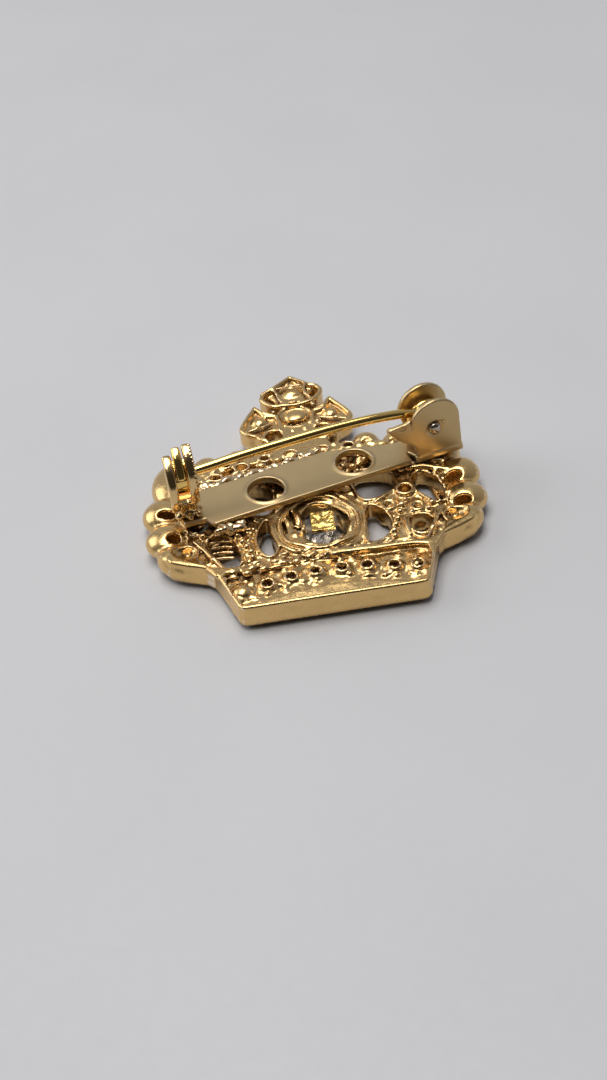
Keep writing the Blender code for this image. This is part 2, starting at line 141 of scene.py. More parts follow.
def blob(centre, radii, turn=0.0, lean=0.0):
    """An ellipsoid, turned about z and leaning about its own first axis, in degrees."""
    place = Matrix.Rotation(math.radians(turn), 3, "Z") @ Matrix.Rotation(math.radians(lean), 3, "X")
    rows = [list(column) for column in place.transposed()]
    reach = max(radii)

    def distance(x, y, z):
        dx, dy, dz = x - centre[0], y - centre[1], z - centre[2]
        local = [row[0] * dx + row[1] * dy + row[2] * dz for row in rows]
        near = np.sqrt(sum((value / radius) ** 2 for value, radius in zip(local, radii)))
        slope = np.sqrt(sum((value / radius ** 2) ** 2 for value, radius in zip(local, radii)))
        return near * (near - 1.0) / np.maximum(slope, 1e-6)

    return distance, [c - reach for c in centre], [c + reach for c in centre]


def ring(centre, radius, thick, stretch=1.0):
    """A ring lying flat."""
    reach = radius * max(1.0, stretch) + thick

    def distance(x, y, z):
        dx, dy, dz = x - centre[0], (y - centre[1]) / stretch, z - centre[2]
        return np.hypot(np.hypot(dx, dy) - radius, dz) - thick

    low = [centre[0] - reach, centre[1] - reach, centre[2] - thick]
    return distance, low, [centre[0] + reach, centre[1] + reach, centre[2] + thick]


def post(centre, radius, low, high, soft=0.05, taper=0.0):
    """A round post. Its radius shrinks by taper for each millimetre up."""

    def distance(x, y, z):
        side = np.hypot(x - centre[0], y - centre[1]) - radius + taper * (z - low)
        return rounded(side, np.abs(z - (low + high) / 2.0) - (high - low) / 2.0, soft)

    reach = radius + abs(taper) * (high - low)
    return distance, [centre[0] - reach, centre[1] - reach, low], [centre[0] + reach, centre[1] + reach, high]


def ridge(points, thick):
    """A round bead of metal through points in space."""
    spots = [np.array(point, float) for point in points]

    def distance(x, y, z):
        best = FAR
        for a, b in zip(spots, spots[1:]):
            e = b - a
            share = np.clip(((x - a[0]) * e[0] + (y - a[1]) * e[1] + (z - a[2]) * e[2]) / (e @ e), 0.0, 1.0)
            best = np.minimum(best, np.sqrt((x - a[0] - e[0] * share) ** 2 + (y - a[1] - e[1] * share) ** 2
                                            + (z - a[2] - e[2] * share) ** 2))
        return best - thick

    return distance, np.min(spots, 0) - thick, np.max(spots, 0) + thick


def flat_distance(points, x, y):
    """Signed distance to an outline, the same at every height."""
    return outline_distance(points, x[:, :, 0], y[:, :, 0])[:, :, None]


def reach_of(points, low, high, spare=0.0):
    """The lowest and highest corner of an outline between two heights."""
    corners = np.array(points)
    return [*(corners.min(0) - spare), low], [*(corners.max(0) + spare), high]


def slab(points, low, high, soft=0.1):
    """A flat plate with an outline in x and y."""

    def distance(x, y, z):
        between = np.abs(z - (low + high) / 2.0) - (high - low) / 2.0
        return rounded(flat_distance(points, x, y), between, soft)

    return distance, *reach_of(points, low, high)


def border(points, level, thick, inset=0.0):
    """A round bead that follows an outline in x and y."""

    def distance(x, y, z):
        return np.hypot(flat_distance(points, x, y) + inset, z - level) - thick

    return distance, *reach_of(points, level - thick, level + thick, thick - min(inset, 0.0))


def dish(points, level, inset):
    """The room above a level, inside an outline drawn in by an inset."""

    def distance(x, y, z):
        return rounded(flat_distance(points, x, y) + inset, level - z, 0.05)

    return distance, *reach_of(points, level - 0.2, RIM_Z + 1.0)


def floor_cut(points, level, rough, seed):
    """The room above a rough cast floor inside an outline."""

    def distance(x, y, z):
        fx, fy = x[:, :, 0], y[:, :, 0]
        folds = 0.6 * (1.0 - np.abs(cloud(fx, fy, 1.1, seed)) * 2.0)
        relief = rough * (folds + 0.7 * cloud(fx, fy, 0.62, seed + 1) + 0.35 * cloud(fx, fy, 0.33, seed + 2))
        return np.maximum(flat_distance(points, x, y), (level + relief)[:, :, None] - z)

    return distance, *reach_of(points, level - 0.4, RIM_Z + 1.0)


def mirror(shape):
    """The same shape on the other side of x = 0."""
    distance, low, high = shape
    return (lambda x, y, z: distance(-x, y, z)), [-high[0], low[1], low[2]], [-low[0], high[1], high[2]]


class Metal:
    """A solid as signed distances on a grid, in millimetres and negative inside."""

    def __init__(self, low, high, step):
        self.step = step
        self.axes = [a + step * np.arange(int(round((b - a) / step)) + 1) for a, b in zip(low, high)]
        self.field = np.full([len(axis) for axis in self.axes], FAR, np.float32)

    def window(self, low, high, spare):
        """The part of the grid round a shape, and its coordinates."""
        cuts = []
        for axis, a, b in zip(self.axes, low, high):
            first = int(np.searchsorted(axis, a - spare))
            last = int(np.searchsorted(axis, b + spare))
            cuts.append(slice(first, max(last, first)))
        x, y, z = (axis[cut] for axis, cut in zip(self.axes, cuts))
        return tuple(cuts), x[:, None, None], y[None, :, None], z[None, None, :]

    def combine(self, shape, soft, sign):
        distance, low, high = shape
        cuts, x, y, z = self.window(low, high, soft + 3.0 * self.step)
        old = self.field[cuts]
        if not old.size:
            return
        new = sign * distance(x, y, z)
        overlap = np.maximum(soft - np.abs(old - new), 0.0)
        nearer = np.minimum if sign > 0 else np.maximum
        self.field[cuts] = nearer(old, new) - sign * (overlap ** 2 / (4.0 * soft))

    def add(self, shape, soft=0.1):
        self.combine(shape, soft, 1.0)

    def cut(self, shape, soft=0.08):
        self.combine(shape, soft, -1.0)

    def add_both(self, shape, soft=0.1):
        self.add(shape, soft)
        self.add(mirror(shape), soft)

    def cut_both(self, shape, soft=0.08):
        self.cut(shape, soft)
        self.cut(mirror(shape), soft)

    def ridges(self, rows, soft=0.12, side=1.0):
        """Beads of metal, each from its points and its thickness, on one side of x = 0."""
        for points, thick in rows:
            self.add(ridge([(side * x, y, z) for x, y, z in points], thick), soft)

    def balls(self, rows, level, soft, side=1.0):
        """Balls of metal at one level, each from x, y and its radius."""
        for x, y, radius in rows:
            self.add(blob((side * x, y, level), (radius, radius, radius)), soft)

    def surface(self):
        """Points and four-cornered faces where the distance is zero."""
        field = self.field
        strides = np.array([field.shape[1] * field.shape[2], field.shape[2], 1])
        total = np.zeros((field.size, 3), np.float32)
        count = np.zeros(field.size, np.float32)
        faces = []
        for axis in range(3):
            near, far = [slice(None)] * 3, [slice(None)] * 3
            near[axis], far[axis] = slice(None, -1), slice(1, None)
            cross = np.argwhere((field[tuple(near)] < 0.0) != (field[tuple(far)] < 0.0))
            others = [k for k in range(3) if k != axis]
            cross = cross[(cross[:, others] > 0).all(1)]
            ahead = cross.copy()
            ahead[:, axis] += 1
            here, there = field[tuple(cross.T)], field[tuple(ahead.T)]
            spot = cross.astype(np.float32)
            spot[:, axis] += here / (here - there)
            cells = []
            for i, j in ((0, 0), (1, 0), (1, 1), (0, 1)):
                cell = cross.copy()
                cell[:, others] -= (i, j)
                cell = cell @ strides
                cells.append(cell)
                count += np.bincount(cell, minlength=field.size)
                for k in range(3):
                    total[:, k] += np.bincount(cell, spot[:, k], minlength=field.size)
            quads = np.stack(cells, 1)
            flip = (here < 0.0) == (axis == 1)
            quads[flip] = quads[flip][:, ::-1]
            faces.append(quads)
        used = np.flatnonzero(count)
        number = np.zeros(field.size, np.int64)
        number[used] = np.arange(len(used))
        points = total[used] / count[used][:, None] * self.step + np.array([axis[0] for axis in self.axes])
        return points, number[np.concatenate(faces)]


def soften(points, faces, rounds, strength=0.5):
    """Even out a mesh by moving each point towards the middle of its neighbours."""
    pairs = np.concatenate([faces[:, [i, (i + 1) % 4]] for i in range(4)])
    pairs = np.concatenate([pairs, pairs[:, ::-1]])
    count = np.bincount(pairs[:, 0], minlength=len(points))[:, None]
    for _ in range(rounds):
        middle = np.stack([np.bincount(pairs[:, 0], points[pairs[:, 1], k], minlength=len(points))
                           for k in range(3)], 1) / np.maximum(count, 1)
        points = points + (middle - points) * strength
    return points


# ---- pieces

def link(name, data):
    """Put an object with this data in the scene."""
    item = bpy.data.objects.new(name, data)
    bpy.context.scene.collection.objects.link(item)
    return item


def show(name, points, faces, place, material, slot, body, replaced=(), smooth=True):
    """Make a piece from points in millimetres in one of the frames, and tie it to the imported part."""
    mesh = bpy.data.meshes.new(name)
    matrix = np.array(place)
    spots = np.asarray(points, float) * MM @ matrix[:3, :3].T + matrix[:3, 3]
    mesh.from_pydata(spots.tolist(), [], [list(map(int, face)) for face in faces])
    mesh.update()
    mesh.materials.append(material)
    if smooth:
        mesh.shade_smooth()
    item = link(name, mesh)
    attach(item, body)
    if replaced:
        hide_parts(*replaced)
    return item


def show_metal(name, metal, place, material, slot, body, replaced=(), strength=0.3):
    """Make a piece from the surface of a signed-distance solid, evened out a little."""
    points, faces = metal.surface()
    if strength:
        points = soften(points, faces, 1, strength)
    return show(name, points, faces, place, material, slot, body, replaced)


def walls(rings):
    """Faces between each ring of point numbers and the next."""
    faces = []
    for low, high in zip(rings, rings[1:]):
        faces += [(low[i - 1], low[i], high[i], high[i - 1]) for i in (*range(1, len(low)), 0)]
    return faces


def face_out(item):
    """Turn every face outwards."""
    solid = bmesh.new()
    solid.from_mesh(item.data)
    bmesh.ops.recalc_face_normals(solid, faces=solid.faces)
    solid.to_mesh(item.data)
    solid.free()


def swept(path, radii, sides=20):
    """A round wire through points. Returns points and faces."""
    path = [Vector(point) for point in path]
    points, rings = [], []
    normal = Vector((0.0, 0.0, 1.0))
    for index, (place, radius) in enumerate(zip(path, radii)):
        ahead = (path[min(index + 1, len(path) - 1)] - path[max(index - 1, 0)]).normalized()
        normal = (normal - ahead * normal.dot(ahead)).normalized()
        side = ahead.cross(normal)
        rings.append([len(points) + step for step in range(sides)])
        for step in range(sides):
            angle = math.tau * step / sides
            points.append(place + (normal * math.cos(angle) + side * math.sin(angle)) * radius)
    return points, walls(rings) + [rings[0][::-1], rings[-1]]


def smoothed(path, radii, steps=3):
    """Run a smooth curve through a path's points, with the wire's radius carried along."""
    rows = [np.array((*place, radius)) for place, radius in zip(path, radii)]
    rows = [rows[0], *rows, rows[-1]]
    result = []
    for four in zip(rows, rows[1:], rows[2:], rows[3:]):
        result += between(*four, steps)
    result.append(rows[-1])
    return [tuple(row[:3]) for row in result], [max(row[3], 0.03) for row in result]


def lathe(profile, segments=40):
    """A round solid about its third axis, from radius and height, closed at both ends."""
    points, rings = [], []
    turns = [math.tau * step / segments for step in range(segments)]
    for radius, height in profile:
        count = segments if radius else 1
        rings.append([len(points) + step % count for step in range(segments)])
        points += [(radius * math.cos(turn), radius * math.sin(turn), height) for turn in turns[:count]]
    return points, [list(dict.fromkeys(face)) for face in walls(rings)]


# ---- materials

class Nodes:
    """A short way to write a material's nodes."""

    def __init__(self, name):
        self.material = bpy.data.materials.new(name)
        self.material.use_nodes = True
        self.tree = self.material.node_tree
        self.shader = self.tree.nodes["Principled BSDF"]
        self.place = self.tree.nodes.new("ShaderNodeTexCoord").outputs["Object"]

    def link(self, source, socket):
        self.tree.links.new(source, socket)

    def node(self, kind, **values):
        """A node with its inputs set, each named with _ for a space, to a value or a socket."""
        node = self.tree.nodes.new("ShaderNode" + kind)
        for name, value in values.items():
            socket = node.inputs[name.replace("_", " ")]
            if isinstance(value, bpy.types.NodeSocket):
                self.link(value, socket)
            else:
                socket.default_value = value
        return node

    def noise(self, size, detail=3.0, rough=0.5, distort=0.0):
        """Noise with features of about this size in millimetres."""
        node = self.node("TexNoise", Scale=1.0 / (size * MM), Detail=detail, Roughness=rough, Distortion=distort,
                         Vector=self.place)
        return node.outputs["Fac"]

    def ramp(self, source, low, high, first=0.0, last=1.0):
        """Map a range of values to another."""
        node = self.node("MapRange", From_Min=low, From_Max=high, To_Min=first, To_Max=last, Value=source)
        return node.outputs["Result"]

    def maths(self, operation, a, b):
        node = self.node("Math")
        node.operation = operation
        for socket, value in zip(node.inputs, (a, b)):
            if isinstance(value, float):
                socket.default_value = value
            else:
                self.link(value, socket)
        return node.outputs["Value"]

    def mix(self, share, a, b):
        """Blend two colours, each a tuple or a socket."""
        node = self.node("Mix")
        node.data_type = "RGBA"
        self.link(share, node.inputs["Factor"])
        for name, value in (("A", a), ("B", b)):
            socket = next(s for s in node.inputs if s.name == name and s.type == "RGBA")
            if isinstance(value, tuple):
                socket.default_value = (*value, 1.0)
            else:
                self.link(value, socket)
        return next(s for s in node.outputs if s.type == "RGBA")

    def pointiness(self):
        return self.node("NewGeometry").outputs["Pointiness"]

    def hidden(self, reach):
        """How far a spot is closed in by metal within a reach in millimetres, 1 in the open."""
        node = self.node("AmbientOcclusion", Distance=reach * MM)
        node.samples = 6
        return node.outputs["AO"]

    def bump(self, height, depth, **more):
        """A bump whose full range of height is this many millimetres deep."""
        return self.node("Bump", Strength=1.0, Distance=depth * MM, Height=height, **more).outputs["Normal"]

    def finish(self, colour, roughness, normal):
        for name, source in (("Base Color", colour), ("Roughness", roughness), ("Normal", normal)):
            self.link(source, self.shader.inputs[name])
        return self.material


def gold(name, colour, pale, recess_shade, roughness, grain, depth, recess=0.8, spread=0.3):
    """Gold plating: colour with paler edges, partly real wear and partly a painted highlight, and rougher
    recesses darkened with painted shade.
    """
    n = Nodes(name)
    n.shader.inputs["Metallic"].default_value = 1.0
    tone = n.mix(n.ramp(n.noise(1.6, 4.0), 0.35, 0.65), colour, tuple((1.0 - 0.25 * spread) * c for c in colour))
    edge = n.maths("ADD", n.pointiness(), n.maths("MULTIPLY", n.noise(0.5, 3.0), 0.03))
    # Pale on sharp edges: partly real plating wear, partly a painted highlight.
    wear_and_highlight = n.ramp(edge, 0.545, 0.66, 0.0, 0.75)
    edged = n.mix(wear_and_highlight, tone, pale)
    # Painted shade: the colour goes towards recess_shade where metal closes in round a spot.
    open_air = n.ramp(n.hidden(recess), 0.2, 0.85)
    full = n.mix(open_air, recess_shade, edged)
    patchy = n.ramp(n.noise(grain * 3.0, 3.0), 0.3, 0.7, roughness * (1.0 - spread), roughness * (1.0 + spread))
    rough = n.maths("ADD", patchy, n.ramp(open_air, 0.0, 1.0, 0.08, 0.0))
    fine = n.bump(n.noise(grain, 4.0, 0.6), depth)
    broad = n.bump(n.noise(grain * 5.0, 2.0), depth * 2.5, Normal=fine)
    return n.finish(full, rough, broad)


GOLD = (0.80, 0.535, 0.225)
# Pale edge colour, partly real plating wear and partly a painted highlight; the rivet's middle colour below is
# the same.
PALE_WEAR_AND_HIGHLIGHT_GOLD = (0.95, 0.80, 0.68)
# Painted shade for recesses: this colour and the last colour on each of the next two lines.
RECESS_SHADE_GOLD = (0.30, 0.21, 0.12)
SHEET_GOLD, SHEET_RECESS_SHADE = (0.60, 0.44, 0.22), (0.42, 0.31, 0.14)
RIVET_GREY, RIVET_WEAR_AND_HIGHLIGHT, RIVET_RECESS_SHADE = (0.50, 0.42, 0.33), (0.9, 0.85, 0.75), (0.12, 0.09, 0.06)
# Colours (own colour, pale edges of wear and painted highlight, painted recess shade), then roughness, size of
# the grain, its depth, reach of the painted recess shade and unevenness.
cast_gold = gold("cast gold plate", GOLD, PALE_WEAR_AND_HIGHLIGHT_GOLD, RECESS_SHADE_GOLD, 0.24, 0.14, 0.009)
sheet_gold = gold("sheet gold plate", SHEET_GOLD, PALE_WEAR_AND_HIGHLIGHT_GOLD, SHEET_RECESS_SHADE, 0.38, 0.3, 0.0005, 0.5, 0.06)
catch_gold = gold("catch gold plate", (0.78, 0.54, 0.25), PALE_WEAR_AND_HIGHLIGHT_GOLD, (0.3, 0.21, 0.1), 0.13, 0.12, 0.002, 0.5)
wire_gold = gold("wire gold plate", (0.93, 0.63, 0.2), PALE_WEAR_AND_HIGHLIGHT_GOLD, (0.4, 0.26, 0.09), 0.09, 0.1, 0.0008, 0.4)
rivet_metal = gold("rivet metal", RIVET_GREY, RIVET_WEAR_AND_HIGHLIGHT, RIVET_RECESS_SHADE, 0.16, 0.1, 0.002, 0.3)
solder_metal = gold("plated solder", (0.86, 0.64, 0.36), PALE_WEAR_AND_HIGHLIGHT_GOLD, RECESS_SHADE_GOLD, 0.16, 0.16, 0.01, 0.5)


def foil(name, colour, second, roughness, size, depth):
    """Metal foil on the back of a stone, wrinkled."""
    n = Nodes(name)
    n.shader.inputs["Metallic"].default_value = 0.9
    tone = n.mix(n.ramp(n.noise(size * 2.0, 3.0, 0.5, 0.6), 0.4, 0.6), colour, second)
    rough = n.ramp(n.noise(size, 3.0), 0.3, 0.7, roughness * 0.7, roughness * 1.4)
    return n.finish(tone, rough, n.bump(n.noise(size, 4.0, 0.6, 0.5), depth))


dark_foil = foil("mottled backing", (0.05, 0.045, 0.04), (0.62, 0.52, 0.38), 0.1, 0.7, 0.05)
rose_foil = foil("rosy backing", (0.80, 0.62, 0.60), (0.35, 0.28, 0.30), 0.1, 0.3, 0.01)
gold_foil = foil("gold foil", (0.9, 0.66, 0.22), (0.75, 0.5, 0.14), 0.18, 0.28, 0.06)


# ---- the casting

NOTCH = (9.35, 4.3)
OUTLINE = [(7.2, 0.05), (7.75, 0.12), (8.1, 0.5), (8.6, 2.1), NOTCH, (9.65, 5.1), (10.3, 5.75), (11.9, 6.4),
    (13.2, 7.1), (14.0, 8.3), (14.4, 10.4), (14.3, 14.0), (12.2, 17.5), (10.4, 19.6), (8.2, 19.8), (5.9, 20.0),
    (3.2, 20.4)]
BAND_FLOOR = [(-7.6, 0.9), (-4.0, 1.5), (0.0, 1.9), (4.0, 1.5), (7.6, 0.9), (8.6, 4.7), (4.5, 5.05), (0.0, 5.25),
    (-4.5, 5.05), (-8.6, 4.7)]
BODY_FLOOR = [(0.0, 5.9), (8.8, 5.5), (10.6, 6.9), (11.4, 8.8), (11.3, 11.5), (11.1, 14.5), (9.9, 17.2),
    (7.4, 18.5), (4.2, 19.0), (0.0, 19.2)]
# Rounded lobes of one side: x, y, z, half length, half width, half depth, turn.
LOBES = [(12.4, 8.1, 1.35, 2.3, 1.5, 1.3, 40.0), (13.3, 11.1, 1.45, 1.95, 1.85, 1.3, 0.0),
    (13.35, 14.5, 1.45, 1.95, 1.95, 1.35, 0.0), (11.9, 18.5, 1.45, 3.2, 2.3, 1.35, 98.0),
    (8.9, 20.1, 1.45, 1.5, 1.45, 1.25, 0.0), (6.0, 20.6, 1.5, 1.3, 1.25, 1.2, 0.0)]
PITS = [(12.6, 13.3, 0.9, 0.5, 8.0), (12.8, 9.95, 0.85, 0.45, -4.0), (-13.1, 13.6, 0.8, 0.4, -8.0),
    (-12.7, 10.35, 0.6, 0.5, 0.0), (11.7, 17.0, 0.8, 0.45, 98.0), (-11.9, 17.4, 0.7, 0.4, 82.0)]
OPENINGS_RIGHT = [
    [(4.5, 12.2), (5.9, 12.3), (7.1, 13.0), (7.5, 14.1), (7.1, 15.6), (4.9, 16.2), (3.8, 15.4), (3.9, 13.5)],
    [(9.2, 12.4), (9.0, 13.8), (9.5, 14.7), (10.4, 14.6), (11.1, 13.6), (11.5, 12.2), (11.3, 10.7),
     (10.4, 10.6)],
    [(3.9, 6.6), (5.0, 6.6), (5.95, 7.7), (6.15, 9.2), (5.5, 10.7), (4.6, 11.2), (4.25, 9.8), (4.0, 8.2)],
    [(7.85, 8.7), (7.9, 7.4), (8.5, 6.7), (9.2, 7.0), (9.8, 8.1), (9.3, 8.9), (8.4, 9.0)]
]
OPENINGS_LEFT = [
    [(-4.3, 12.1), (-5.7, 12.3), (-6.9, 13.0), (-7.3, 14.1), (-6.9, 15.6), (-4.8, 16.2), (-3.6, 15.4),
     (-3.7, 13.5)],
    [(-9.2, 12.4), (-9.0, 14.4), (-9.2, 15.4), (-10.3, 15.4), (-11.0, 14.0), (-11.3, 12.2), (-10.9, 11.1),
     (-10.1, 10.9)],
    [(-4.7, 6.5), (-5.4, 7.6), (-5.5, 9.2), (-4.9, 10.8), (-4.4, 11.1), (-4.2, 9.6), (-4.0, 7.6)],
    [(-8.2, 5.5), (-9.0, 6.6), (-9.7, 8.6), (-9.6, 9.9), (-8.2, 9.9), (-7.5, 8.8), (-7.2, 7.0), (-7.5, 5.9)]
]
BAND_STONES = [(1.1, 3.9), (3.25, 3.7), (5.4, 3.25), (7.45, 2.95)]
TREFOIL_STONES = {"top": (8.15, 12.5), "inner": (6.4, 10.95), "outer": (8.85, 9.8)}
CENTRE = (0.0, 9.7)
CROSS_CENTRE = (0.0, 25.4)
TOP_PETAL = [(-0.8, 26.9), (-1.9, 27.0), (-2.75, 27.9), (-3.0, 28.7), (-2.6, 29.5), (-1.6, 30.0), (-0.6, 30.9),
    (0.3, 31.6), (1.2, 30.9), (1.9, 30.2), (2.7, 29.9), (3.15, 29.0), (2.8, 28.0), (2.0, 27.2), (0.9, 26.9)]
SIDE_PETAL = [(1.5, 25.8), (2.6, 26.2), (3.2, 27.3), (3.7, 27.7), (4.2, 26.8), (4.9, 25.7), (5.4, 24.4),
    (4.9, 23.4), (4.0, 22.8), (3.4, 22.1), (2.6, 22.4), (1.4, 23.6)]
CROSS_FOOT = [(-2.8, 19.6), (-2.6, 21.3), (-2.9, 22.6), (-1.6, 24.0), (1.6, 24.0), (2.9, 22.6), (2.6, 21.3),
    (2.8, 19.6)]
FOOT_HOLE = (2.3, 22.75)
# Ridges, each its points and its thickness.
TOP_PETAL_RIDGES = [
    ([(-2.7, 29.3, 2.62), (-1.6, 29.85, 2.75), (-0.5, 30.7, 2.75), (0.3, 31.4, 2.68), (1.1, 30.6, 2.75),
     (1.7, 30.0, 2.75)], 0.15),
    ([(-1.45, 29.7, 2.7), (-1.3, 28.9, 2.75), (-1.15, 28.0, 2.7), (-0.8, 27.2, 2.55)], 0.14),
    ([(1.6, 29.9, 2.75), (1.4, 29.2, 2.75), (1.4, 28.4, 2.72), (1.9, 27.7, 2.55)], 0.15),
    ([(-1.0, 29.75, 2.7), (0.1, 29.95, 2.72), (1.2, 29.9, 2.7)], 0.11)
]
SIDE_PETAL_RIDGES = [
    ([(3.65, 27.35, 2.5), (2.9, 26.4, 2.6), (2.0, 25.95, 2.5)], 0.14),
    ([(3.65, 27.35, 2.5), (4.35, 26.2, 2.55), (5.0, 24.9, 2.5), (5.05, 24.2, 2.4)], 0.15),
    ([(4.9, 23.9, 2.4), (3.9, 24.1, 2.5), (3.2, 24.3, 2.5), (2.3, 24.7, 2.45)], 0.14)
]
CROSS_CRUMBS = [(-0.7, 27.3, 0.2), (0.1, 27.1, 0.22), (0.8, 27.35, 0.22), (0.3, 27.8, 0.16), (1.95, 26.9, 0.26),
    (-1.9, 26.6, 0.2), (2.0, 24.2, 0.26), (0.7, 23.35, 0.24), (-0.5, 23.3, 0.2), (0.35, 30.75, 0.2)]
BAND_FACE = [(-7.7, 0.42), (7.7, 0.42), (7.75, 0.95), (4.0, 1.75), (0.0, 2.1), (-4.0, 1.75), (-7.75, 0.95)]
FACE_GROOVE = [(-7.6, 1.15, 2.3), (-4.0, 1.85, 2.3), (0.0, 2.2, 2.3), (4.0, 1.9, 2.3), (7.6, 1.15, 2.3)]
BAND_EDGE = [(-7.7, 0.3, 2.42), (0.0, 0.27, 2.45), (7.7, 0.3, 2.42), (8.2, 1.5, 2.42), (9.1, 4.4, 2.45)]
BAND_STEP = [(-9.0, 4.4), (0.4, 4.9), (0.4, 6.4), (-7.0, 6.2)]
BAND_LEDGE = [(0.6, 5.75), (1.6, 5.6), (3.0, 5.55), (5.5, 5.35), (9.1, 4.95)]
LEDGE_GROOVE = [(4.9, 5.75, 2.25), (6.4, 5.65, 2.1), (8.2, 5.5, 2.15)]
BAND_LUMPS = [(-8.1, 5.0, 0.42), (-6.9, 4.6, 0.36), (-6.4, 5.2, 0.32), (-7.5, 5.3, 0.26), (-5.4, 4.9, 0.26),
    (-4.4, 5.6, 0.28), (-2.6, 5.2, 0.3), (-1.0, 6.0, 0.26)]
TREFOIL_WEB = [(6.0, 6.4), (7.6, 6.4), (7.75, 9.2), (9.6, 9.3), (9.6, 10.4), (9.0, 12.3), (8.2, 13.6),
    (7.3, 12.9), (6.2, 11.9), (5.4, 11.4), (5.9, 10.0), (6.1, 8.2)]
TREFOIL_BALLS = [(7.5, 10.6, 0.36), (7.2, 9.75, 0.3), (6.85, 8.85, 0.3), (6.55, 8.1, 0.32), (6.25, 7.35, 0.34),
    (6.2, 6.65, 0.3), (7.9, 11.3, 0.22), (6.9, 11.6, 0.22), (9.55, 7.0, 0.34), (5.75, 10.2, 0.26),
    (9.75, 9.7, 0.25), (10.15, 10.35, 0.3), (8.2, 9.55, 0.2)]
TREFOIL_RIDGES = [
    ([(7.45, 8.7, 2.2), (7.4, 7.6, 2.25), (7.5, 6.6, 2.15)], 0.17),
    ([(7.1, 13.2, 2.1), (6.2, 12.1, 2.2), (5.3, 11.6, 2.15)], 0.16),
    ([(8.9, 12.4, 2.15), (9.7, 11.2, 2.2), (10.2, 10.6, 2.2)], 0.15),
    ([(9.0, 6.5, 2.15), (9.9, 7.6, 2.25), (10.3, 9.3, 2.25)], 0.16)
]
# Rings of the collar: radius, level and how far they wander.
COLLAR_RINGS = [(3.45, 2.3, 0.12), (4.08, 2.1, 0.1), (2.95, 1.9, 0.1)]
# Blobs round the large stone: x, y, half length, half width, turn.
COLLAR_BLOCKS = [(-1.75, 11.2, 0.42, 1.15, 8.0), (-2.7, 10.7, 0.36, 1.2, 4.0), (-2.3, 8.75, 0.7, 0.42, -34.0),
    (-1.5, 9.5, 0.3, 0.55, 20.0), (-3.2, 9.3, 0.26, 0.8, 8.0)]
COLLAR_GAPS = [(-2.22, 11.1, 0.16, 1.0, 6.0), (-1.95, 9.75, 0.5, 0.14, -30.0), (-3.0, 9.9, 0.12, 0.9, 6.0)]
COLLAR_FOLDS = [(2.75, 8.9, 0.3, 0.95, -22.0), (2.9, 11.2, 0.28, 1.1, 16.0), (2.1, 12.3, 0.26, 0.6, 40.0),
    (-1.2, 7.2, 0.9, 0.25, -14.0), (1.3, 7.1, 0.8, 0.22, 14.0)]
LEAF_EDGE = [(9.45, 4.7, 2.35), (10.2, 5.85, 2.4), (11.6, 6.75, 2.4), (13.0, 7.35, 2.3), (13.7, 8.2, 2.1)]
LEAF_FOLD = [(8.7, 5.5, 2.2), (9.6, 7.1, 2.3), (10.3, 8.4, 2.35), (11.0, 9.6, 2.3)]
LEAF = (11.85, 8.25)
# Wells along the top of the body: x, y, half length, half width, depth.
TOP_WELLS = [(-5.8, 18.6, 0.55, 0.45, 1.3), (-8.3, 17.6, 0.5, 0.35, 1.0), (-1.2, 19.6, 0.6, 0.4, 0.9),
    (-3.6, 19.4, 0.4, 0.35, 0.8), (1.8, 19.7, 0.5, 0.3, 0.8), (4.2, 19.6, 0.45, 0.35, 0.9),
    (-7.2, 19.2, 0.4, 0.3, 0.9)]
SHOULDERS = [
    ([(8.9, 15.4, 2.3), (10.3, 15.2, 2.45), (12.2, 14.3, 2.4)], 0.26),
    ([(9.4, 15.9, 2.3), (10.9, 16.0, 2.4), (12.3, 15.8, 2.2)], 0.3)
]
CATCH_CUP = (-10.9, 13.0)
SMALL_WELLS = [(-8.8, 10.7), (-7.75, 10.75), (-6.6, 11.1)]
CUP_BALLS = [(-9.7, 12.3, 0.34), (-9.3, 11.7, 0.28), (-10.0, 11.6, 0.3), (-8.9, 12.2, 0.26), (-10.3, 11.3, 0.22)]
FRONT_EDGE = [(8.5, 5.8, 0.6), (10.8, 8.4, 0.55), (11.2, 12.0, 0.55), (10.6, 16.0, 0.55), (8.2, 18.2, 0.55),
    (4.0, 19.0, 0.55), (0.0, 19.3, 0.55)]
FRONT_SPRAY = [(6.3, 6.4, 0.6), (6.9, 8.6, 0.5), (7.6, 10.8, 0.5)]


def scatter(metal, rng, count, spot, sizes, level, lift, stretch, turns, soft, flat=1.0):
    """Crumbs of metal at random spots, each longer than it is wide and turned at random."""
    for _ in range(count):
        x, y = spot(rng)
        if x is None:
            continue
        size = rng.uniform(*sizes)
        metal.add(blob((x, y, level + rng.uniform(*lift)), (size * rng.uniform(*stretch), size, size * flat),
                       rng.uniform(*turns)), soft)


def both(points):
    """Close a half outline with its mirror image."""
    return points + [(-x, y) for x, y in reversed(points) if x > 0.0]


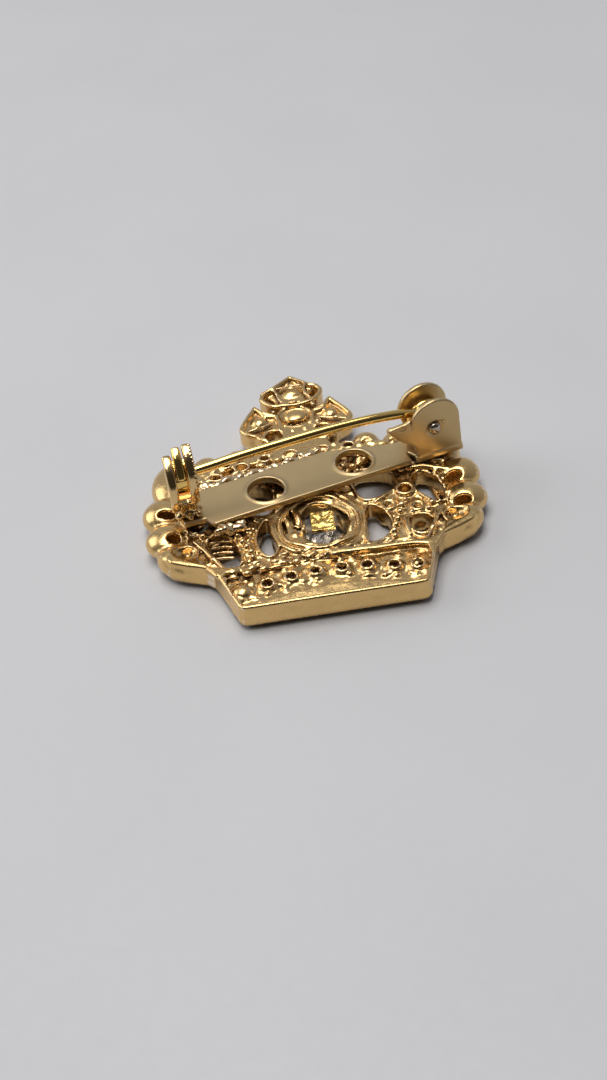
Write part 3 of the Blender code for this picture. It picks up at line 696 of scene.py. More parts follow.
def cross(metal):
    """Three hollowed petals with rolled rims round a boss, on a foot with a hole at each side."""
    add, cut = metal.add, metal.cut
    top, flank = curved(TOP_PETAL, 4), curved(SIDE_PETAL, 4)
    add(slab(curved(CROSS_FOOT, 3), FRONT_Z, 2.4, 0.3), 0.15)
    add(slab(top, FRONT_Z + 0.05, 2.75, 0.4), 0.12)
    metal.add_both(slab(flank, FRONT_Z + 0.05, 2.6, 0.4), 0.12)
    add(post(CROSS_CENTRE, 2.0, FRONT_Z, 2.25, 0.3), 0.15)
    # Top petal: a hollow in each ear, a dished middle and a cup at the tip.
    cut(blob((-2.15, 28.45, 3.1), (0.5, 0.85, 1.6), 32.0), 0.12)
    cut(blob((2.35, 28.8, 3.1), (0.48, 0.8, 1.7), -32.0), 0.12)
    cut(dish(top, 2.34, 0.34), 0.4)
    add(border(top, 2.5, 0.22, 0.24), 0.2)
    add(blob((0.15, 29.1, 2.05), (1.1, 0.75, 0.62)), 0.2)
    add(blob((0.3, 30.45, 2.05), (0.55, 0.55, 0.55)), 0.2)
    cut(blob((0.2, 27.5, 3.2), (1.0, 0.45, 1.25)), 0.12)
    metal.ridges(TOP_PETAL_RIDGES)
    # Side petals: a low pad inside a ridge that runs round to the tip.
    for side in (-1, 1):
        petal = [(side * x, y) for x, y in flank]
        cut(dish(petal, 2.24, 0.34), 0.4)
        add(border(petal, 2.38, 0.22, 0.24), 0.2)
        add(blob((side * 3.4, 25.35, 2.05), (0.85, 0.78, 0.6)), 0.15)
        metal.ridges(SIDE_PETAL_RIDGES, 0.12, side)
        add(blob((side * 3.55, 22.6, 2.35), (0.28, 0.28, 0.25)), 0.12)
        add(blob((side * 3.75, 24.25, 2.55), (0.2, 0.2, 0.16)), 0.1)
    # Boss in the middle, in a sunk ring.
    cut(blob((*CROSS_CENTRE, 3.3), (1.8, 1.6, 1.5)), 0.1)
    add(ring((*CROSS_CENTRE, 2.3), 1.75, 0.15, 0.88), 0.12)
    add(blob((0.05, 25.5, 2.3), (1.12, 0.98, 0.42)), 0.05)
    cut(blob((-0.1, 24.4, 2.2), (0.95, 0.26, 0.6)), 0.08)
    # Holes beside the foot, each under an arched lip.
    for side in (-1, 1):
        hole = (side * FOOT_HOLE[0], FOOT_HOLE[1])
        add(ring((*hole, 2.3), 1.0, 0.2), 0.15)
        cut(post(hole, 0.76, 0.0, ABOVE), 0.12)
    cut(blob((0.0, 21.3, 2.95), (1.2, 1.1, 0.75)), 0.2)
    metal.balls(CROSS_CRUMBS, 2.35, 0.1)


def band(metal):
    """The band: a sloping face along the base edge, a row of cups and a rough ledge above them."""
    add, cut = metal.add, metal.cut

    def sloping(x, y, z):
        edge = 2.05 - 0.019 * x ** 2
        height = 2.2 + 0.13 * np.clip((y - 0.45) / np.maximum(edge - 0.45, 0.4), 0.0, 1.2)
        height = height + 0.02 * cloud(x[:, :, 0], y[:, :, 0] * 2.5, 1.6, 5)[:, :, None]
        return np.maximum(flat_distance(BAND_FACE, x, y), height - z)

    cut((sloping, *reach_of(BAND_FACE, 1.9, 3.4)), 0.14)
    cut(ridge(FACE_GROOVE, 0.13), 0.08)
    add(ridge(BAND_EDGE, 0.16), 0.1)
    cut(floor_cut(curved(BAND_FLOOR, 3), FLOOR_Z - 0.02, 0.07, 11), 0.16)
    cut(floor_cut(BAND_STEP, FLOOR_Z + 0.12, 0.12, 17), 0.2)
    rng = np.random.default_rng(21)
    for x, y in BAND_STONES:
        for side in (-1, 1):
            if side < 0 and x > 7.0:
                continue
            centre = (side * x + 0.05 * math.sin(5.0 * x), y - 0.2)
            add(blob((*centre, 1.85), (0.95, 0.88, 0.42)), 0.2)
            add(ring((*centre, 2.2), 0.56, 0.15), 0.15)
            cut(blob((*centre, 2.35), (0.42, 0.40, 1.4)), 0.08)
            for _ in range(4):
                angle = rng.uniform(0.0, math.tau)
                spot = (centre[0] + 0.5 * math.cos(angle), centre[1] + 0.48 * math.sin(angle), 2.28)
                add(blob(spot, (0.15, 0.13, 0.16)), 0.04)
    # The outermost cup on the left is filled with a ball of metal.
    add(blob((-7.55, 2.55, 2.0), (0.88, 0.82, 0.6)), 0.08)
    add(ring((-7.5, 2.6, 1.95), 1.0, 0.14), 0.15)

    def on_floor(rng):
        x = rng.uniform(-8.2, 8.2)
        return x, rng.uniform(2.45, 5.1) - 0.02 * x * x

    def on_ledge(rng):
        x = rng.uniform(-8.2, 4.5)
        return x, 5.6 - 0.012 * x * x + rng.uniform(-0.45, 0.9)

    scatter(metal, rng, 70, on_floor, (0.1, 0.24), FLOOR_Z, (0.0, 0.12), (1.0, 2.2), (-40.0, 40.0), 0.15, 0.8)
    # The ledge along the top of the band.
    add(ridge([(x, y, 2.3 + 0.06 * math.sin(3.1 * x)) for x, y in BAND_LEDGE], 0.2), 0.2)
    for x, y, r in BAND_LUMPS:
        add(blob((x, y, 2.3), (r * 1.3, r, r * 0.8)), 0.14)
    scatter(metal, rng, 80, on_ledge, (0.09, 0.2), 2.22, (-0.12, 0.12), (1.5, 4.0), (-12.0, 18.0), 0.12)
    cut(ridge(LEDGE_GROOVE, 0.2), 0.1)


def trefoil(metal, side):
    """Three cups on a stem of beads."""
    add, cut = metal.add, metal.cut
    (tx, ty), (ix, iy), (ox, oy) = TREFOIL_STONES["top"], TREFOIL_STONES["inner"], TREFOIL_STONES["outer"]
    outline = [(side * x, y) for x, y in curved(TREFOIL_WEB, 3)]
    top = (side * tx, ty + 0.05)
    add(slab(outline, FRONT_Z + 0.1, FLOOR_Z + 0.12, 0.15), 0.15)
    add(post(top, 0.98, 1.0, 2.3, 0.2, 0.05), 0.15)
    add(ring((*top, 2.3), 0.72, 0.19), 0.12)
    cut(post(top, 0.47, 1.3, ABOVE, 0.1, -0.06), 0.1)
    for x, y, r in ((ix, iy - 0.1, 0.6), (ox, oy + 0.35, 0.56)):
        add(blob((side * x, y, 1.9), (r + 0.25, r + 0.2, 0.42)), 0.15)
        add(ring((side * x, y, 2.2), r, 0.14), 0.12)
        cut(blob((side * x, y, 2.35), (r * 0.62, r * 0.6, 0.5)), 0.1)
        add(blob((side * (x + 0.1), y - 0.1, 1.95), (0.2, 0.2, 0.18)), 0.05)
    metal.balls(TREFOIL_BALLS, 2.18, 0.08, side)
    metal.ridges(TREFOIL_RIDGES, 0.12, side)


def collar(metal):
    """The collar round the large stone: an uneven ring with a dished wall, open towards the stone."""
    add, cut = metal.add, metal.cut
    add(post(CENTRE, 4.0, FRONT_Z, 2.15, 0.25), 0.25)
    cut(blob((*CENTRE, 3.6), (3.75, 3.75, 1.9)), 0.15)
    rings = []
    for radius, level, wave in COLLAR_RINGS:
        loop = []
        for step in range(49):
            angle = math.tau * step / 48
            swing = radius + wave * math.sin(3 * angle + radius) + 0.5 * wave * math.sin(7 * angle)
            loop.append((CENTRE[0] + swing * math.cos(angle), CENTRE[1] + 0.1 + swing * math.sin(angle),
                         level + 0.08 * math.sin(5 * angle + 2.0 * radius)))
        rings.append(loop)
    add(ridge(rings[0], 0.2), 0.15)
    add(ridge(rings[1], 0.17), 0.15)
    cut(post(CENTRE, 3.06, BELOW, 0.98, 0.05), 0.05)
    cut(blob((0.5, 9.95, 2.0), (2.15, 2.85, 1.5)), 0.1)
    add(ridge(rings[2][:15], 0.26), 0.1)
    add(ridge(rings[2][34:], 0.22), 0.1)
    # Blocks standing on the left between the collar and the stone, with gaps between, and folds all round.
    for change, rows, level, depth, soft in ((add, COLLAR_BLOCKS, 1.55, 0.75, 0.06),
                                             (cut, COLLAR_GAPS, 1.9, 0.8, 0.06),
                                             (add, COLLAR_FOLDS, 2.0, 0.35, 0.1)):
        for x, y, rx, ry, turn in rows:
            change(blob((x, y, level), (rx, ry, depth), turn), soft)


def lobes(metal):
    """The rounded lobes with the wells behind them, and the leaf above the notch."""
    for x, y, z, rx, ry, rz, turn in LOBES:
        metal.add_both(blob((x, y, z), (rx, ry, rz), turn), 0.22)
    for x, y, rx, ry, turn in PITS:
        metal.cut(blob((x, y, 2.6), (rx, ry, 1.6), turn), 0.1)
    for x, y, r in ((8.55, 19.4, 0.6), (5.95, 19.8, 0.5)):
        metal.cut_both(blob((x, y, 2.75), (r, r * 0.8, 0.75)), 0.15)
    # The leaf: a cup with a rolled ring inside a raised edge.
    metal.add_both(ridge(LEAF_EDGE, 0.2), 0.2)
    metal.cut_both(blob((*LEAF, 2.85), (1.3, 1.0, 0.95), 25.0), 0.15)
    metal.add_both(ring((LEAF[0], 8.3, 2.2), 1.08, 0.15, 0.85), 0.15)
    metal.cut_both(blob((11.75, 8.6, 2.2), (0.5, 0.4, 0.6)), 0.12)
    metal.add_both(ridge(LEAF_FOLD, 0.15), 0.15)
    rng = np.random.default_rng(8)
    for _ in range(20):
        angle, reach = rng.uniform(0.0, math.tau), rng.uniform(0.3, 1.0)
        metal.add_both(blob((11.3 + 0.8 * reach * math.cos(angle), 12.2 + 4.2 * reach * math.sin(angle), 2.3),
                            (rng.uniform(0.12, 0.35), 0.12, 0.14), rng.uniform(0.0, 180.0)), 0.15)


def junction(metal):
    """The rough top of the body, where the cross stands on it, and the cup by the catch."""
    add, cut = metal.add, metal.cut

    def spot(rng):
        return rng.uniform(-9.6, 8.6), rng.uniform(15.8, 20.2)

    scatter(metal, np.random.default_rng(14), 150, spot, (0.14, 0.34), 2.35, (-0.1, 0.22), (1.0, 2.2),
            (-30.0, 50.0), 0.14)
    for x, y, rx, ry, deep in TOP_WELLS:
        cut(blob((x, y, 2.75), (rx, ry, deep)), 0.12)
        add(ring((x, y, 2.62), rx + 0.12, 0.13, ry / rx), 0.1)
    for side in (-1, 1):
        metal.ridges(SHOULDERS, 0.2, side)
    add(post(CATCH_CUP, 1.0, 1.0, 2.5, 0.2), 0.2)
    add(ring((*CATCH_CUP, 2.5), 0.8, 0.22), 0.12)
    cut(post((CATCH_CUP[0], 13.1), 0.5, 1.3, ABOVE, 0.1), 0.12)
    for x, y in SMALL_WELLS:
        cut(blob((x, y, 2.3), (0.42, 0.5, 1.3)), 0.1)
        add(ring((x, y, 2.2), 0.52, 0.12, 1.15), 0.1)
    metal.balls(CUP_BALLS, 2.5, 0.12)


def crumbs(metal):
    """Rough lumps and folds on the hollow's floor, outside the collar."""

    def spot(rng):
        x, y = rng.uniform(-11.0, 11.0), rng.uniform(5.9, 18.8)
        return (None, None) if math.hypot(x - CENTRE[0], y - CENTRE[1]) < 4.2 else (x, y)

    scatter(metal, np.random.default_rng(33), 240, spot, (0.09, 0.22), FLOOR_Z, (-0.08, 0.16), (1.0, 3.2),
            (0.0, 180.0), 0.16)


def front(metal):
    """Settings and borders on the face, round every stone."""
    add, cut = metal.add, metal.cut
    stones = [(side * x, y, 0.78) for side in (-1, 1) for x, y in BAND_STONES]
    stones += [(side * x, y, 0.68) for side in (-1, 1) for x, y in TREFOIL_STONES.values()]
    stones.append((*CROSS_CENTRE, 1.15))
    for x, y, radius in stones:
        add(ring((x, y, 0.55), radius + 0.16, 0.2), 0.08)
        claws = radius + 0.05
        metal.balls([(x + claws * math.cos(angle), y + claws * math.sin(angle), 0.17)
                     for angle in (math.radians(45.0 + 90.0 * number) for number in range(4))], 0.36, 0.05)
    for x, y, radius in stones:
        cut(post((x, y), radius + 0.02, 0.42, 0.72, 0.03), 0.03)
        cut(post((x, y), radius, BELOW, 0.6, 0.03), 0.03)
        cut(blob((x, y, 0.65), (radius * 0.9, radius * 0.9, 0.62)), 0.04)
    add(ring((*CENTRE, 0.5), 3.45, 0.3), 0.1)
    add(ring((*CENTRE, 0.55), 4.1, 0.22), 0.08)
    metal.balls([(CENTRE[0] + 3.8 * math.cos(angle), CENTRE[1] + 3.8 * math.sin(angle), 0.2)
                 for angle in (math.tau * number / 36 for number in range(36))], 0.48, 0.04)
    cut(post(CENTRE, 3.04, BELOW, 0.98, 0.03), 0.03)
    for half, y, thick in ((7.9, 0.7, 0.2), (8.9, 5.2, 0.16)):
        add(ridge([(-half, y, 0.55), (half, y, 0.55)], thick), 0.08)
    for side in (-1, 1):
        for number in range(4):
            x = side * (2.17 + 2.1 * number) - side * 1.08
            if abs(x) <= 8.0:
                add(blob((x + side * 1.06, 3.4 - 0.02 * x * x, 0.55), (0.22, 0.75, 0.22)), 0.06)
    metal.add_both(ridge(FRONT_EDGE, 0.22), 0.08)
    metal.add_both(ridge(FRONT_SPRAY, 0.25), 0.08)


def build_casting():
    metal = Metal((-15.6, -0.3, -0.1), (15.6, 31.9, 3.1), CASTING_STEP)
    shell = both(OUTLINE)
    openings = [curved(points, 3) for points in OPENINGS_RIGHT + OPENINGS_LEFT]
    metal.add(slab(shell, FRONT_Z, RIM_Z, 0.2), 0.1)
    metal.cut_both(slab([(11.6, 8.9), (16.0, 6.0), (16.0, 20.0), (11.2, 20.0)], 2.0, ABOVE, 0.2), 0.3)
    metal.add(border(shell, 0.75, 0.62, 0.62), 0.3)
    metal.cut(floor_cut(curved(both(BODY_FLOOR), 3), FLOOR_Z, 0.13, 2), 0.2)
    lobes(metal)
    crumbs(metal)
    for shape in openings:
        metal.add(border(shape, FLOOR_Z + 0.12, 0.17, -0.14), 0.15)
    for side in (-1, 1):
        trefoil(metal, side)
    for shape in openings:
        metal.cut(slab(shape, BELOW, ABOVE, 0.02), 0.12)
    for side in (-1, 1):
        for x, y in TREFOIL_STONES.values():
            metal.add(blob((side * x, y - 0.05, 0.75), (0.98, 0.95, 0.62)), 0.2)
    # Bars across the pocket under the left trefoil, each lower than the last.
    for step in range(4):
        metal.add(ridge([(-9.7, 9.5 - 0.35 * step, 1.9 - 0.3 * step), (-8.6, 9.75 - 0.4 * step, 1.8 - 0.3 * step),
                         (-7.8, 9.4 - 0.35 * step, 1.85 - 0.3 * step)], 0.15), 0.08)
    for part in (junction, collar, band, cross, front):
        part(metal)
    show_metal("cast_crown", metal, crown_place, cast_gold, "cast_gold", "crown", ["crown_casting"])


build_casting()


# ---- stones

def cut_stone(radius, girdle, depth, sides=8):
    """A round cut stone, table down: table, kites, girdle and pavilion, each facet flat."""
    points, faces = [], []

    def circle(count, reach, height, turn=0.0):
        first = len(points)
        points.extend([(reach * math.cos(math.tau * (i + turn) / count),
                        reach * math.sin(math.tau * (i + turn) / count), height) for i in range(count)])
        return [first + i for i in range(count)]

    table = circle(sides, 0.58 * radius, 0.02, 0.5)
    kites = circle(sides, 0.8 * radius, girdle * 0.45)
    edge = circle(2 * sides, radius, girdle - 0.05)
    back = circle(2 * sides, radius, girdle + 0.03)
    middle = circle(sides, 0.52 * radius, girdle + 0.5 * (depth - girdle))
    tip = len(points)
    points.append((0.0, 0.0, depth))
    faces.append(table[::-1])
    for i in range(sides):
        after, odd, even = (i + 1) % sides, 2 * i + 1, (2 * i + 2) % (2 * sides)
        faces += [[table[i], kites[after], table[after]], [kites[i], edge[2 * i], edge[odd]],
                  [kites[i], edge[odd], table[i]], [table[i], edge[odd], kites[after]],
                  [kites[after], edge[odd], edge[even]], [middle[i], back[odd], back[2 * i]],
                  [middle[i], middle[after], back[odd]], [middle[after], back[even], back[odd]],
                  [middle[i], tip, middle[after]]]
    return points, faces + walls([edge, back])


def build_stones():
    spots = {}
    for side, word in ((-1, "left"), (1, "right")):
        for number, (x, y) in enumerate(BAND_STONES, start=1):
            spots[f"band_stone_{word}_{number}"] = (side * x, y, 0.76, 0.65, 1.95)
        for place, (x, y) in TREFOIL_STONES.items():
            spots[f"trefoil_stone_{word}_{place}"] = (side * x, y, 0.66, 0.65, 1.13)
    spots["cross_stone"] = (*CROSS_CENTRE, 1.13, 0.7, 1.2)
    for name, (x, y, radius, girdle, depth) in spots.items():
        points, faces = cut_stone(radius, girdle, depth)
        moved = [(px + x, py + y, pz) for px, py, pz in points]
        face_out(show("cut_" + name, moved, faces, crown_place, rose_foil, "small_stone", "crown", [name], False))


def build_centre_stone():
    """The large stone: a round girdle, and a back of steep facets that ends in a square of gold foil."""
    points, rings = [], []
    for reach, height, square in ((1.75, 0.02, 0.0), (2.55, 0.4, 0.0), (2.95, 0.8, 0.0), (2.95, 0.9, 0.0),
                                  (2.3, 1.45, 0.45), (1.55, 1.95, 0.9)):
        rings.append([len(points) + i for i in range(16)])
        for i in range(16):
            angle = math.tau * (i + 0.5) / 16
            c, s = math.cos(angle), math.sin(angle)
            box = 1.0 / max(abs(c), abs(s))
            scale = reach * ((1 - square) + square * min(box, 1.3) * 0.86)
            points.append((CENTRE[0] + 0.25 * square + scale * c, CENTRE[1] + 0.4 * square + scale * s, height))
    faces = [rings[0][::-1], *walls(rings), rings[-1]]
    face_out(show("large_stone", points, faces, crown_place, dark_foil, "large_stone", "crown", ["centre_stone"],
                  False))


def build_foil_patch():
    """The wrinkled square of gold foil on the large stone's back."""
    metal = Metal((-1.6, 8.0, 1.6), (2.4, 12.2, 2.5), FOIL_STEP)
    square = [(-0.75, 9.0), (1.35, 8.85), (1.5, 11.35), (-0.6, 11.5)]

    def wrinkled(x, y, z):
        fx, fy = x[:, :, 0], y[:, :, 0]
        relief = 0.1 * (1 - 2 * np.abs(cloud(fx, fy, 0.55, 4))) + 0.06 * cloud(fx, fy, 0.3, 9)
        top = (2.05 + relief)[:, :, None]
        return rounded(flat_distance(square, x, y), np.maximum(z - top, 1.85 - z), 0.05)

    metal.add((wrinkled, *reach_of(square, 1.85, 2.3)), 0.02)
    show_metal("gold_foil_patch", metal, crown_place, gold_foil, "large_stone", "crown", strength=0.0)


build_stones()
build_centre_stone()
build_foil_patch()


# ---- the finding

PLATE_LOW, PLATE_TOP = 0.25, 0.8
PLATE_OUTLINE = [(-12.3, -1.3), (-10.4, -1.5), (-9.9, -2.5), (14.05, -2.5), (14.05, 0.62), (8.6, 0.62),
    (6.5, 1.15), (4.8, 1.85), (3.0, 2.35), (1.5, 2.5), (-9.6, 2.5), (-10.3, 1.5), (-12.3, 1.3)]
PLATE_HOLES = [(-4.25, -0.25), (4.25, -0.25)]
HOLE_RADIUS = 1.6
EARS = [(-2.5, -2.0), (0.12, 0.62)]
EAR_ROUND = (11.4, 4.1, 2.38)
EAR_FOOT = (9.55, 14.05)

# The pin: the coil round the rivet, then its line from the hinge's middle and its radius at each point.
COIL_RADIUS, COIL_END, COIL_STEPS, COIL_WIRE = 1.5, 128.0, 46, 0.37
STEM_LINE = [(-1.5, 0.02, 1.17), (-2.2, 0.04, 1.34), (-3.4, 0.1, 1.56), (-6.0, 0.31, 1.74), (-9.5, 0.61, 1.76),
    (-13.0, 0.9, 1.63), (-17.3, 1.27, 1.39), (-20.2, 1.52, 1.12), (-21.6, 1.64, 1.04), (-22.3, 1.71, 1.02),
    (-23.0, 1.77, 1.01), (-23.45, 1.81, 1.0)]
STEM_RADII = [0.43] * 8 + [0.38, 0.29, 0.18, 0.06]


def swapped(shape):
    """A shape drawn in u and w and extruded along v."""
    distance, low, high = shape

    def turned_distance(x, y, z):
        values = distance(x.transpose(0, 2, 1), z.transpose(0, 2, 1), y.transpose(0, 2, 1))
        return values.transpose(0, 2, 1)

    return turned_distance, [low[0], low[2], low[1]], [high[0], high[2], high[1]]


SPUR = [(9.05, 5.1), (8.5, 4.85), (7.8, 4.8), (7.0, 4.7), (6.85, 4.45), (7.5, 3.6), (8.2, 2.9), (8.95, 2.45),
    (9.35, 1.9), (9.55, 1.2)]


def ear_outline(spur=()):
    u, w, radius = EAR_ROUND
    top = [(u + radius * math.cos(math.pi * i / 20), w + radius * math.sin(math.pi * i / 20)) for i in range(21)]
    side = list(spur) or [(EAR_FOOT[0] + 0.05, 2.5)]
    return [(EAR_FOOT[1], PLATE_LOW)] + top + side + [(EAR_FOOT[0] + 0.1, PLATE_LOW)]


def build_plate():
    metal = Metal((-12.9, -3.0, -0.1), (14.6, 3.0, 7.0), SHEET_STEP)
    metal.add(slab(PLATE_OUTLINE, PLATE_LOW, PLATE_TOP, 0.12), 0.05)
    metal.add(swapped(slab(ear_outline(SPUR), *EARS[0], 0.13)), 0.25)
    metal.add(swapped(slab(ear_outline(), *EARS[1], 0.13)), 0.3)
    metal.add(ridge([(7.15, -2.1, 4.4), (8.3, -2.05, 3.1), (9.15, -2.1, 2.5)], 0.28), 0.2)
    metal.cut(blob((8.2, -2.55, 4.45), (0.5, 0.16, 0.16)), 0.08)
    for u, v in PLATE_HOLES:
        metal.add(ring((u, v, PLATE_TOP - 0.04), HOLE_RADIUS + 0.16, 0.15), 0.15)
        metal.cut(post((u, v), HOLE_RADIUS, -1.0, 3.0, 0.05), 0.12)
    metal.cut(slab([(8.95, -2.9), (9.4, -2.9), (9.45, -1.9), (9.1, -1.3)], -1.0, 1.5, 0.05), 0.1)
    for v in (EARS[0][0], EARS[1][1]):
        metal.cut(swapped(post((HINGE.x, HINGE.z), 0.52, v - 0.8, v + 0.8, 0.02)), 0.08)
        metal.cut(swapped(ring((HINGE.x, HINGE.z, v), 0.66, 0.1)), 0.05)
    metal.cut(blob((HINGE.x + 0.72, EARS[0][0], HINGE.z + 0.42), (0.24, 0.12, 0.15)), 0.04)
    show_metal("bar_pin_plate", metal, finding_place, sheet_gold, "sheet_gold", "crown", ["bar_plate"])


def build_rivet():
    near, far = EARS[0][0], EARS[1][1]
    head = [(0.0, 0.36), (0.2, 0.345), (0.4, 0.28), (0.54, 0.16), (0.6, -0.02), (0.55, -0.12), (0.48, -0.14)]
    profile = [(radius, near - out) for radius, out in head] + [(radius, far + out) for radius, out in head[::-1]]
    points, faces = lathe(profile)
    laid = [(HINGE.x + x, z, HINGE.z + y) for x, y, z in points]
    face_out(show("hinge_rivet", laid, faces, finding_place, rivet_metal, "rivet", "crown", ["joint_rivet"]))


def build_stem():
    """The pin: a wire coiled one and a half times round the rivet, then straight out to its point."""
    path, radii = [], []
    for step in range(COIL_STEPS, -1, -1):
        angle = math.radians(COIL_END - 12.0 * step)
        path.append((HINGE.x + COIL_RADIUS * math.cos(angle), HINGE.y + 0.55 * step / COIL_STEPS,
                     HINGE.z + COIL_RADIUS * math.sin(angle)))
        radii.append(COIL_WIRE)
    for (du, dv, dw), radius in zip(STEM_LINE, STEM_RADII):
        path.append((HINGE.x + du, HINGE.y + dv, HINGE.z + dw))
        radii.append(radius)
    wire = swept(*smoothed(path, radii))
    face_out(show("pin_wire", *wire, finding_place, wire_gold, "wire_gold", "pin", ["pin_stem"]))


# ---- the catch

ARM_RADII = (2.1, 2.62)
# Arms and the strip that joins them: first and last angle, rise, shift, span along the axis, edge and blend.
ARMS = [
    (2.0, 150.0, 1.16, (-0.3, -0.25), -1.46, -0.66, 0.22, 0.1),
    (2.0, 130.0, 1.29, (0.0, 0.0), 0.33, 1.12, 0.22, 0.1),
    (125.0, 250.0, 1.0, (0.0, 0.0), -1.2, 1.1, 0.24, 0.3)
]
CATCH_FOOT = [(-0.95, -4.1), (0.95, -4.1), (0.85, -2.3), (-0.85, -2.3)]
FOOT_LUMPS = [(-1.0, -3.75, 0.95, 0.32), (-0.75, -3.85, -0.75, 0.34), (-1.1, -3.95, 0.2, 0.26),
    (-0.4, -3.6, 1.1, 0.3)]


def arc(inner, outer, start, end, steps=28, rise=1.0, shift=(0.0, 0.0)):
    """A ring sector in v and w, its angles from the top towards the front of the finding."""
    angles = [math.radians(start + (end - start) * step / steps) for step in range(steps + 1)]
    rows = [(outer, a) for a in angles] + [(inner, a) for a in reversed(angles)]
    outline = [(-radius * math.sin(a), radius * math.cos(a)) for radius, a in rows]
    return [(v + shift[0], w * (rise if w > 0.0 else 1.0) + shift[1]) for v, w in outline]


# The catch is drawn with its cross-section in x and y, and its own axis along z.
catch_axes = catch_place @ Matrix(((0, 0, 1, 0), (1, 0, 0, 0), (0, 1, 0, 0), (0, 0, 0, 1)))


def build_catch():
    metal = Metal((-3.4, -4.6, -1.6), (3.0, 3.6, 1.6), CATCH_STEP)
    for start, end, rise, shift, low, high, edge, soft in ARMS:
        metal.add(slab(arc(*ARM_RADII, start, end, 26, rise, shift), low, high, edge), soft)
    # Foot: a short neck, and lumps of solder round it.
    metal.add(slab(CATCH_FOOT, -0.75, 0.95, 0.3), 0.3)
    metal.cut(blob((-1.0, -3.3, 0.1), (0.35, 0.35, 0.5)), 0.15)
    for x, y, z, r in FOOT_LUMPS:
        metal.add(blob((x, y, z), (r, r, r)), 0.2)
    # A row of beads along the rim of the right arm.
    for step in range(12):
        angle = math.radians(6.0 + 7.0 * step)
        v, w = -2.58 * math.sin(angle), 2.58 * math.cos(angle) * 1.28
        metal.add(blob((v, w, 1.06), (0.11, 0.11, 0.11)), 0.04)
    show_metal("catch_arms", metal, catch_axes, catch_gold, "sheet_gold", "crown", ["catch_housing"])


def build_rotor():
    metal = Metal((-3.2, -2.2, -1.5), (2.2, 3.6, 1.5), CATCH_STEP)
    metal.add(slab(arc(1.22, 1.6, 6.0, 295.0, 60), -1.1, 1.05, 0.1), 0.05)
    metal.add(slab(arc(1.5, 2.6, 6.0, 68.0, 20, 1.31), -0.58, 0.2, 0.22), 0.12)
    show_metal("catch_barrel", metal, catch_axes, wire_gold, "wire_gold", "rotor", ["catch_rotor"])


def build_solder():
    """Beads of solder along the plate's edges."""
    rng = np.random.default_rng(5)
    for name, start, end, v, count, node in (("upper_solder", -9.3, 2.6, 2.75, 60, "solder_upper"),
                                             ("lower_solder", -10.1, -7.4, -2.85, 14, "solder_lower")):
        side = 1.0 if v > 0 else -1.0
        metal = Metal((start - 0.8, v - 1.2, -0.7), (end + 0.8, v + 1.4, 1.3), SOLDER_STEP)
        for index in range(count):
            u = start + (end - start) * (index + rng.uniform(0.0, 0.8)) / count
            size = rng.uniform(0.2, 0.42)
            metal.add(blob((u, v + side * rng.uniform(-0.1, 0.5), rng.uniform(-0.1, 0.55)),
                           (size * rng.uniform(1.0, 1.8), size, size), rng.uniform(-40.0, 40.0)), 0.16)
        show_metal(name, metal, finding_place, solder_metal, "solder", "crown", [node], 0.0)


build_plate()
build_rivet()
build_stem()
build_catch()
build_rotor()
build_solder()


# ---- camera, light and floor

CAMERA_ELEVATION = 40.99
CAMERA_AZIMUTH = -4.15
CAMERA_ROLL = -5.83
CAMERA_DISTANCE = 0.13195
CAMERA_AIM = (-0.00268, 0.00455)    # right and up from the base edge's middle, at rim level
CAMERA_LENS = 53.33
FLOOR_HALF, FLOOR_LEVEL = 0.9, -0.00002
# Lights: name, place, size, power and colour.
LIGHTS = [
    ("overhead", (-0.05, 0.03, 0.45), (0.4, 0.24), 1.5, (1.0, 0.985, 0.97)),
    ("left window", (-0.5, 0.2, 0.3), (0.45, 0.4), 1.2, (0.95, 0.97, 1.0)),
    ("near lamp", (-0.03, -0.09, 0.5), (0.04, 0.03), 0.07, (1.0, 0.96, 0.95)),
    ("second lamp", (-0.04, -0.17, 0.48), (0.04, 0.03), 0.05, (1.0, 0.94, 0.94))
]
# The studio round the object, from behind the camera to the far wall: position and brightness.
STUDIO = [(0.0, (0.04, 0.036, 0.032, 1.0)), (1.0, (0.45, 0.47, 0.52, 1.0)), (0.25, (0.045, 0.04, 0.036, 1.0)),
    (0.37, (0.2, 0.2, 0.2, 1.0)), (0.5, (0.26, 0.26, 0.28, 1.0)), (0.85, (0.33, 0.35, 0.40, 1.0))]


def build_camera():
    e, a, r = (math.radians(value) for value in (CAMERA_ELEVATION, CAMERA_AZIMUTH, CAMERA_ROLL))
    back = Vector((math.sin(a) * math.cos(e), -math.cos(a) * math.cos(e), math.sin(e)))
    level = Vector((math.cos(a), math.sin(a), 0.0))
    upward = back.cross(level)
    right = level * math.cos(r) + upward * math.sin(r)
    up = upward * math.cos(r) - level * math.sin(r)
    target = crown_place.translation + Vector((0.0, 0.0, RIM_Z * MM))
    place = target + right * CAMERA_AIM[0] + up * CAMERA_AIM[1] + back * CAMERA_DISTANCE
    data = bpy.data.cameras.new("camera")
    data.lens = CAMERA_LENS
    data.sensor_width = 36.0
    data.clip_start = 0.001
    data.clip_end = 10.0
    item = link("camera", data)
    item.matrix_world = Matrix.Translation(place) @ Matrix((right, up, back)).transposed().to_4x4()
    bpy.context.scene.camera = item


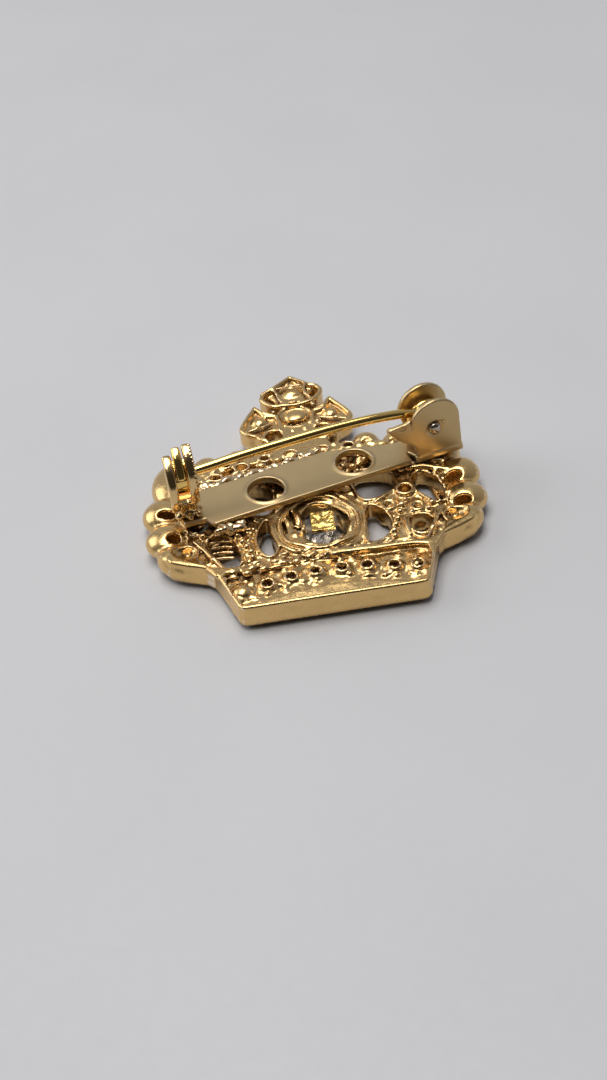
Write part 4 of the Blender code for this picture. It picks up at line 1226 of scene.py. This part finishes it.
def area_light(name, place, size, power, colour):
    """A rectangular light that faces the middle of the floor."""
    data = bpy.data.lights.new(name, "AREA")
    data.shape = "RECTANGLE"
    data.size, data.size_y = size
    data.energy = power
    data.color = colour
    item = link(name, data)
    item.location = place
    item.rotation_euler = (-Vector(place)).to_track_quat("-Z", "Y").to_euler()


def build_world():
    """A plain studio: a pale wall beyond the object, and a darker side behind the camera."""
    world = bpy.data.worlds.new("studio")
    world.use_nodes = True
    bpy.context.scene.world = world
    tree = world.node_tree
    back = tree.nodes["Background"]
    place = tree.nodes.new("ShaderNodeTexCoord")
    split = tree.nodes.new("ShaderNodeSeparateXYZ")
    tree.links.new(place.outputs["Generated"], split.inputs["Vector"])
    ramp = tree.nodes.new("ShaderNodeValToRGB")
    ends = iter(ramp.color_ramp.elements[:])
    for position, colour in STUDIO:
        stop = next(ends, None) or ramp.color_ramp.elements.new(position)
        stop.position, stop.color = position, colour
    side = tree.nodes.new("ShaderNodeMapRange")
    side.inputs["From Min"].default_value = -1.0
    side.inputs["From Max"].default_value = 1.0
    tree.links.new(split.outputs["Y"], side.inputs["Value"])
    tree.links.new(side.outputs["Result"], ramp.inputs["Fac"])
    tree.links.new(ramp.outputs["Color"], back.inputs["Color"])


def build_floor():
    n = Nodes("pale paper")
    tone = n.mix(n.ramp(n.noise(25.0, 3.0), 0.35, 0.65), (0.56, 0.56, 0.565), (0.545, 0.545, 0.55))
    rough = n.ramp(n.noise(1.2, 3.0), 0.3, 0.7, 0.55, 0.7)
    material = n.finish(tone, rough, n.bump(n.noise(0.3, 3.0), 0.01))
    grid = bmesh.new()
    bmesh.ops.create_grid(grid, x_segments=24, y_segments=24, size=FLOOR_HALF,
                          matrix=Matrix.Translation((0.0, 0.0, FLOOR_LEVEL)))
    mesh = bpy.data.meshes.new("floor")
    grid.to_mesh(mesh)
    grid.free()
    mesh.materials.append(material)
    link("floor", mesh)


build_camera()
build_world()
build_floor()
for light in LIGHTS:
    area_light(*light)
bpy.context.scene.view_settings.view_transform = "Standard"
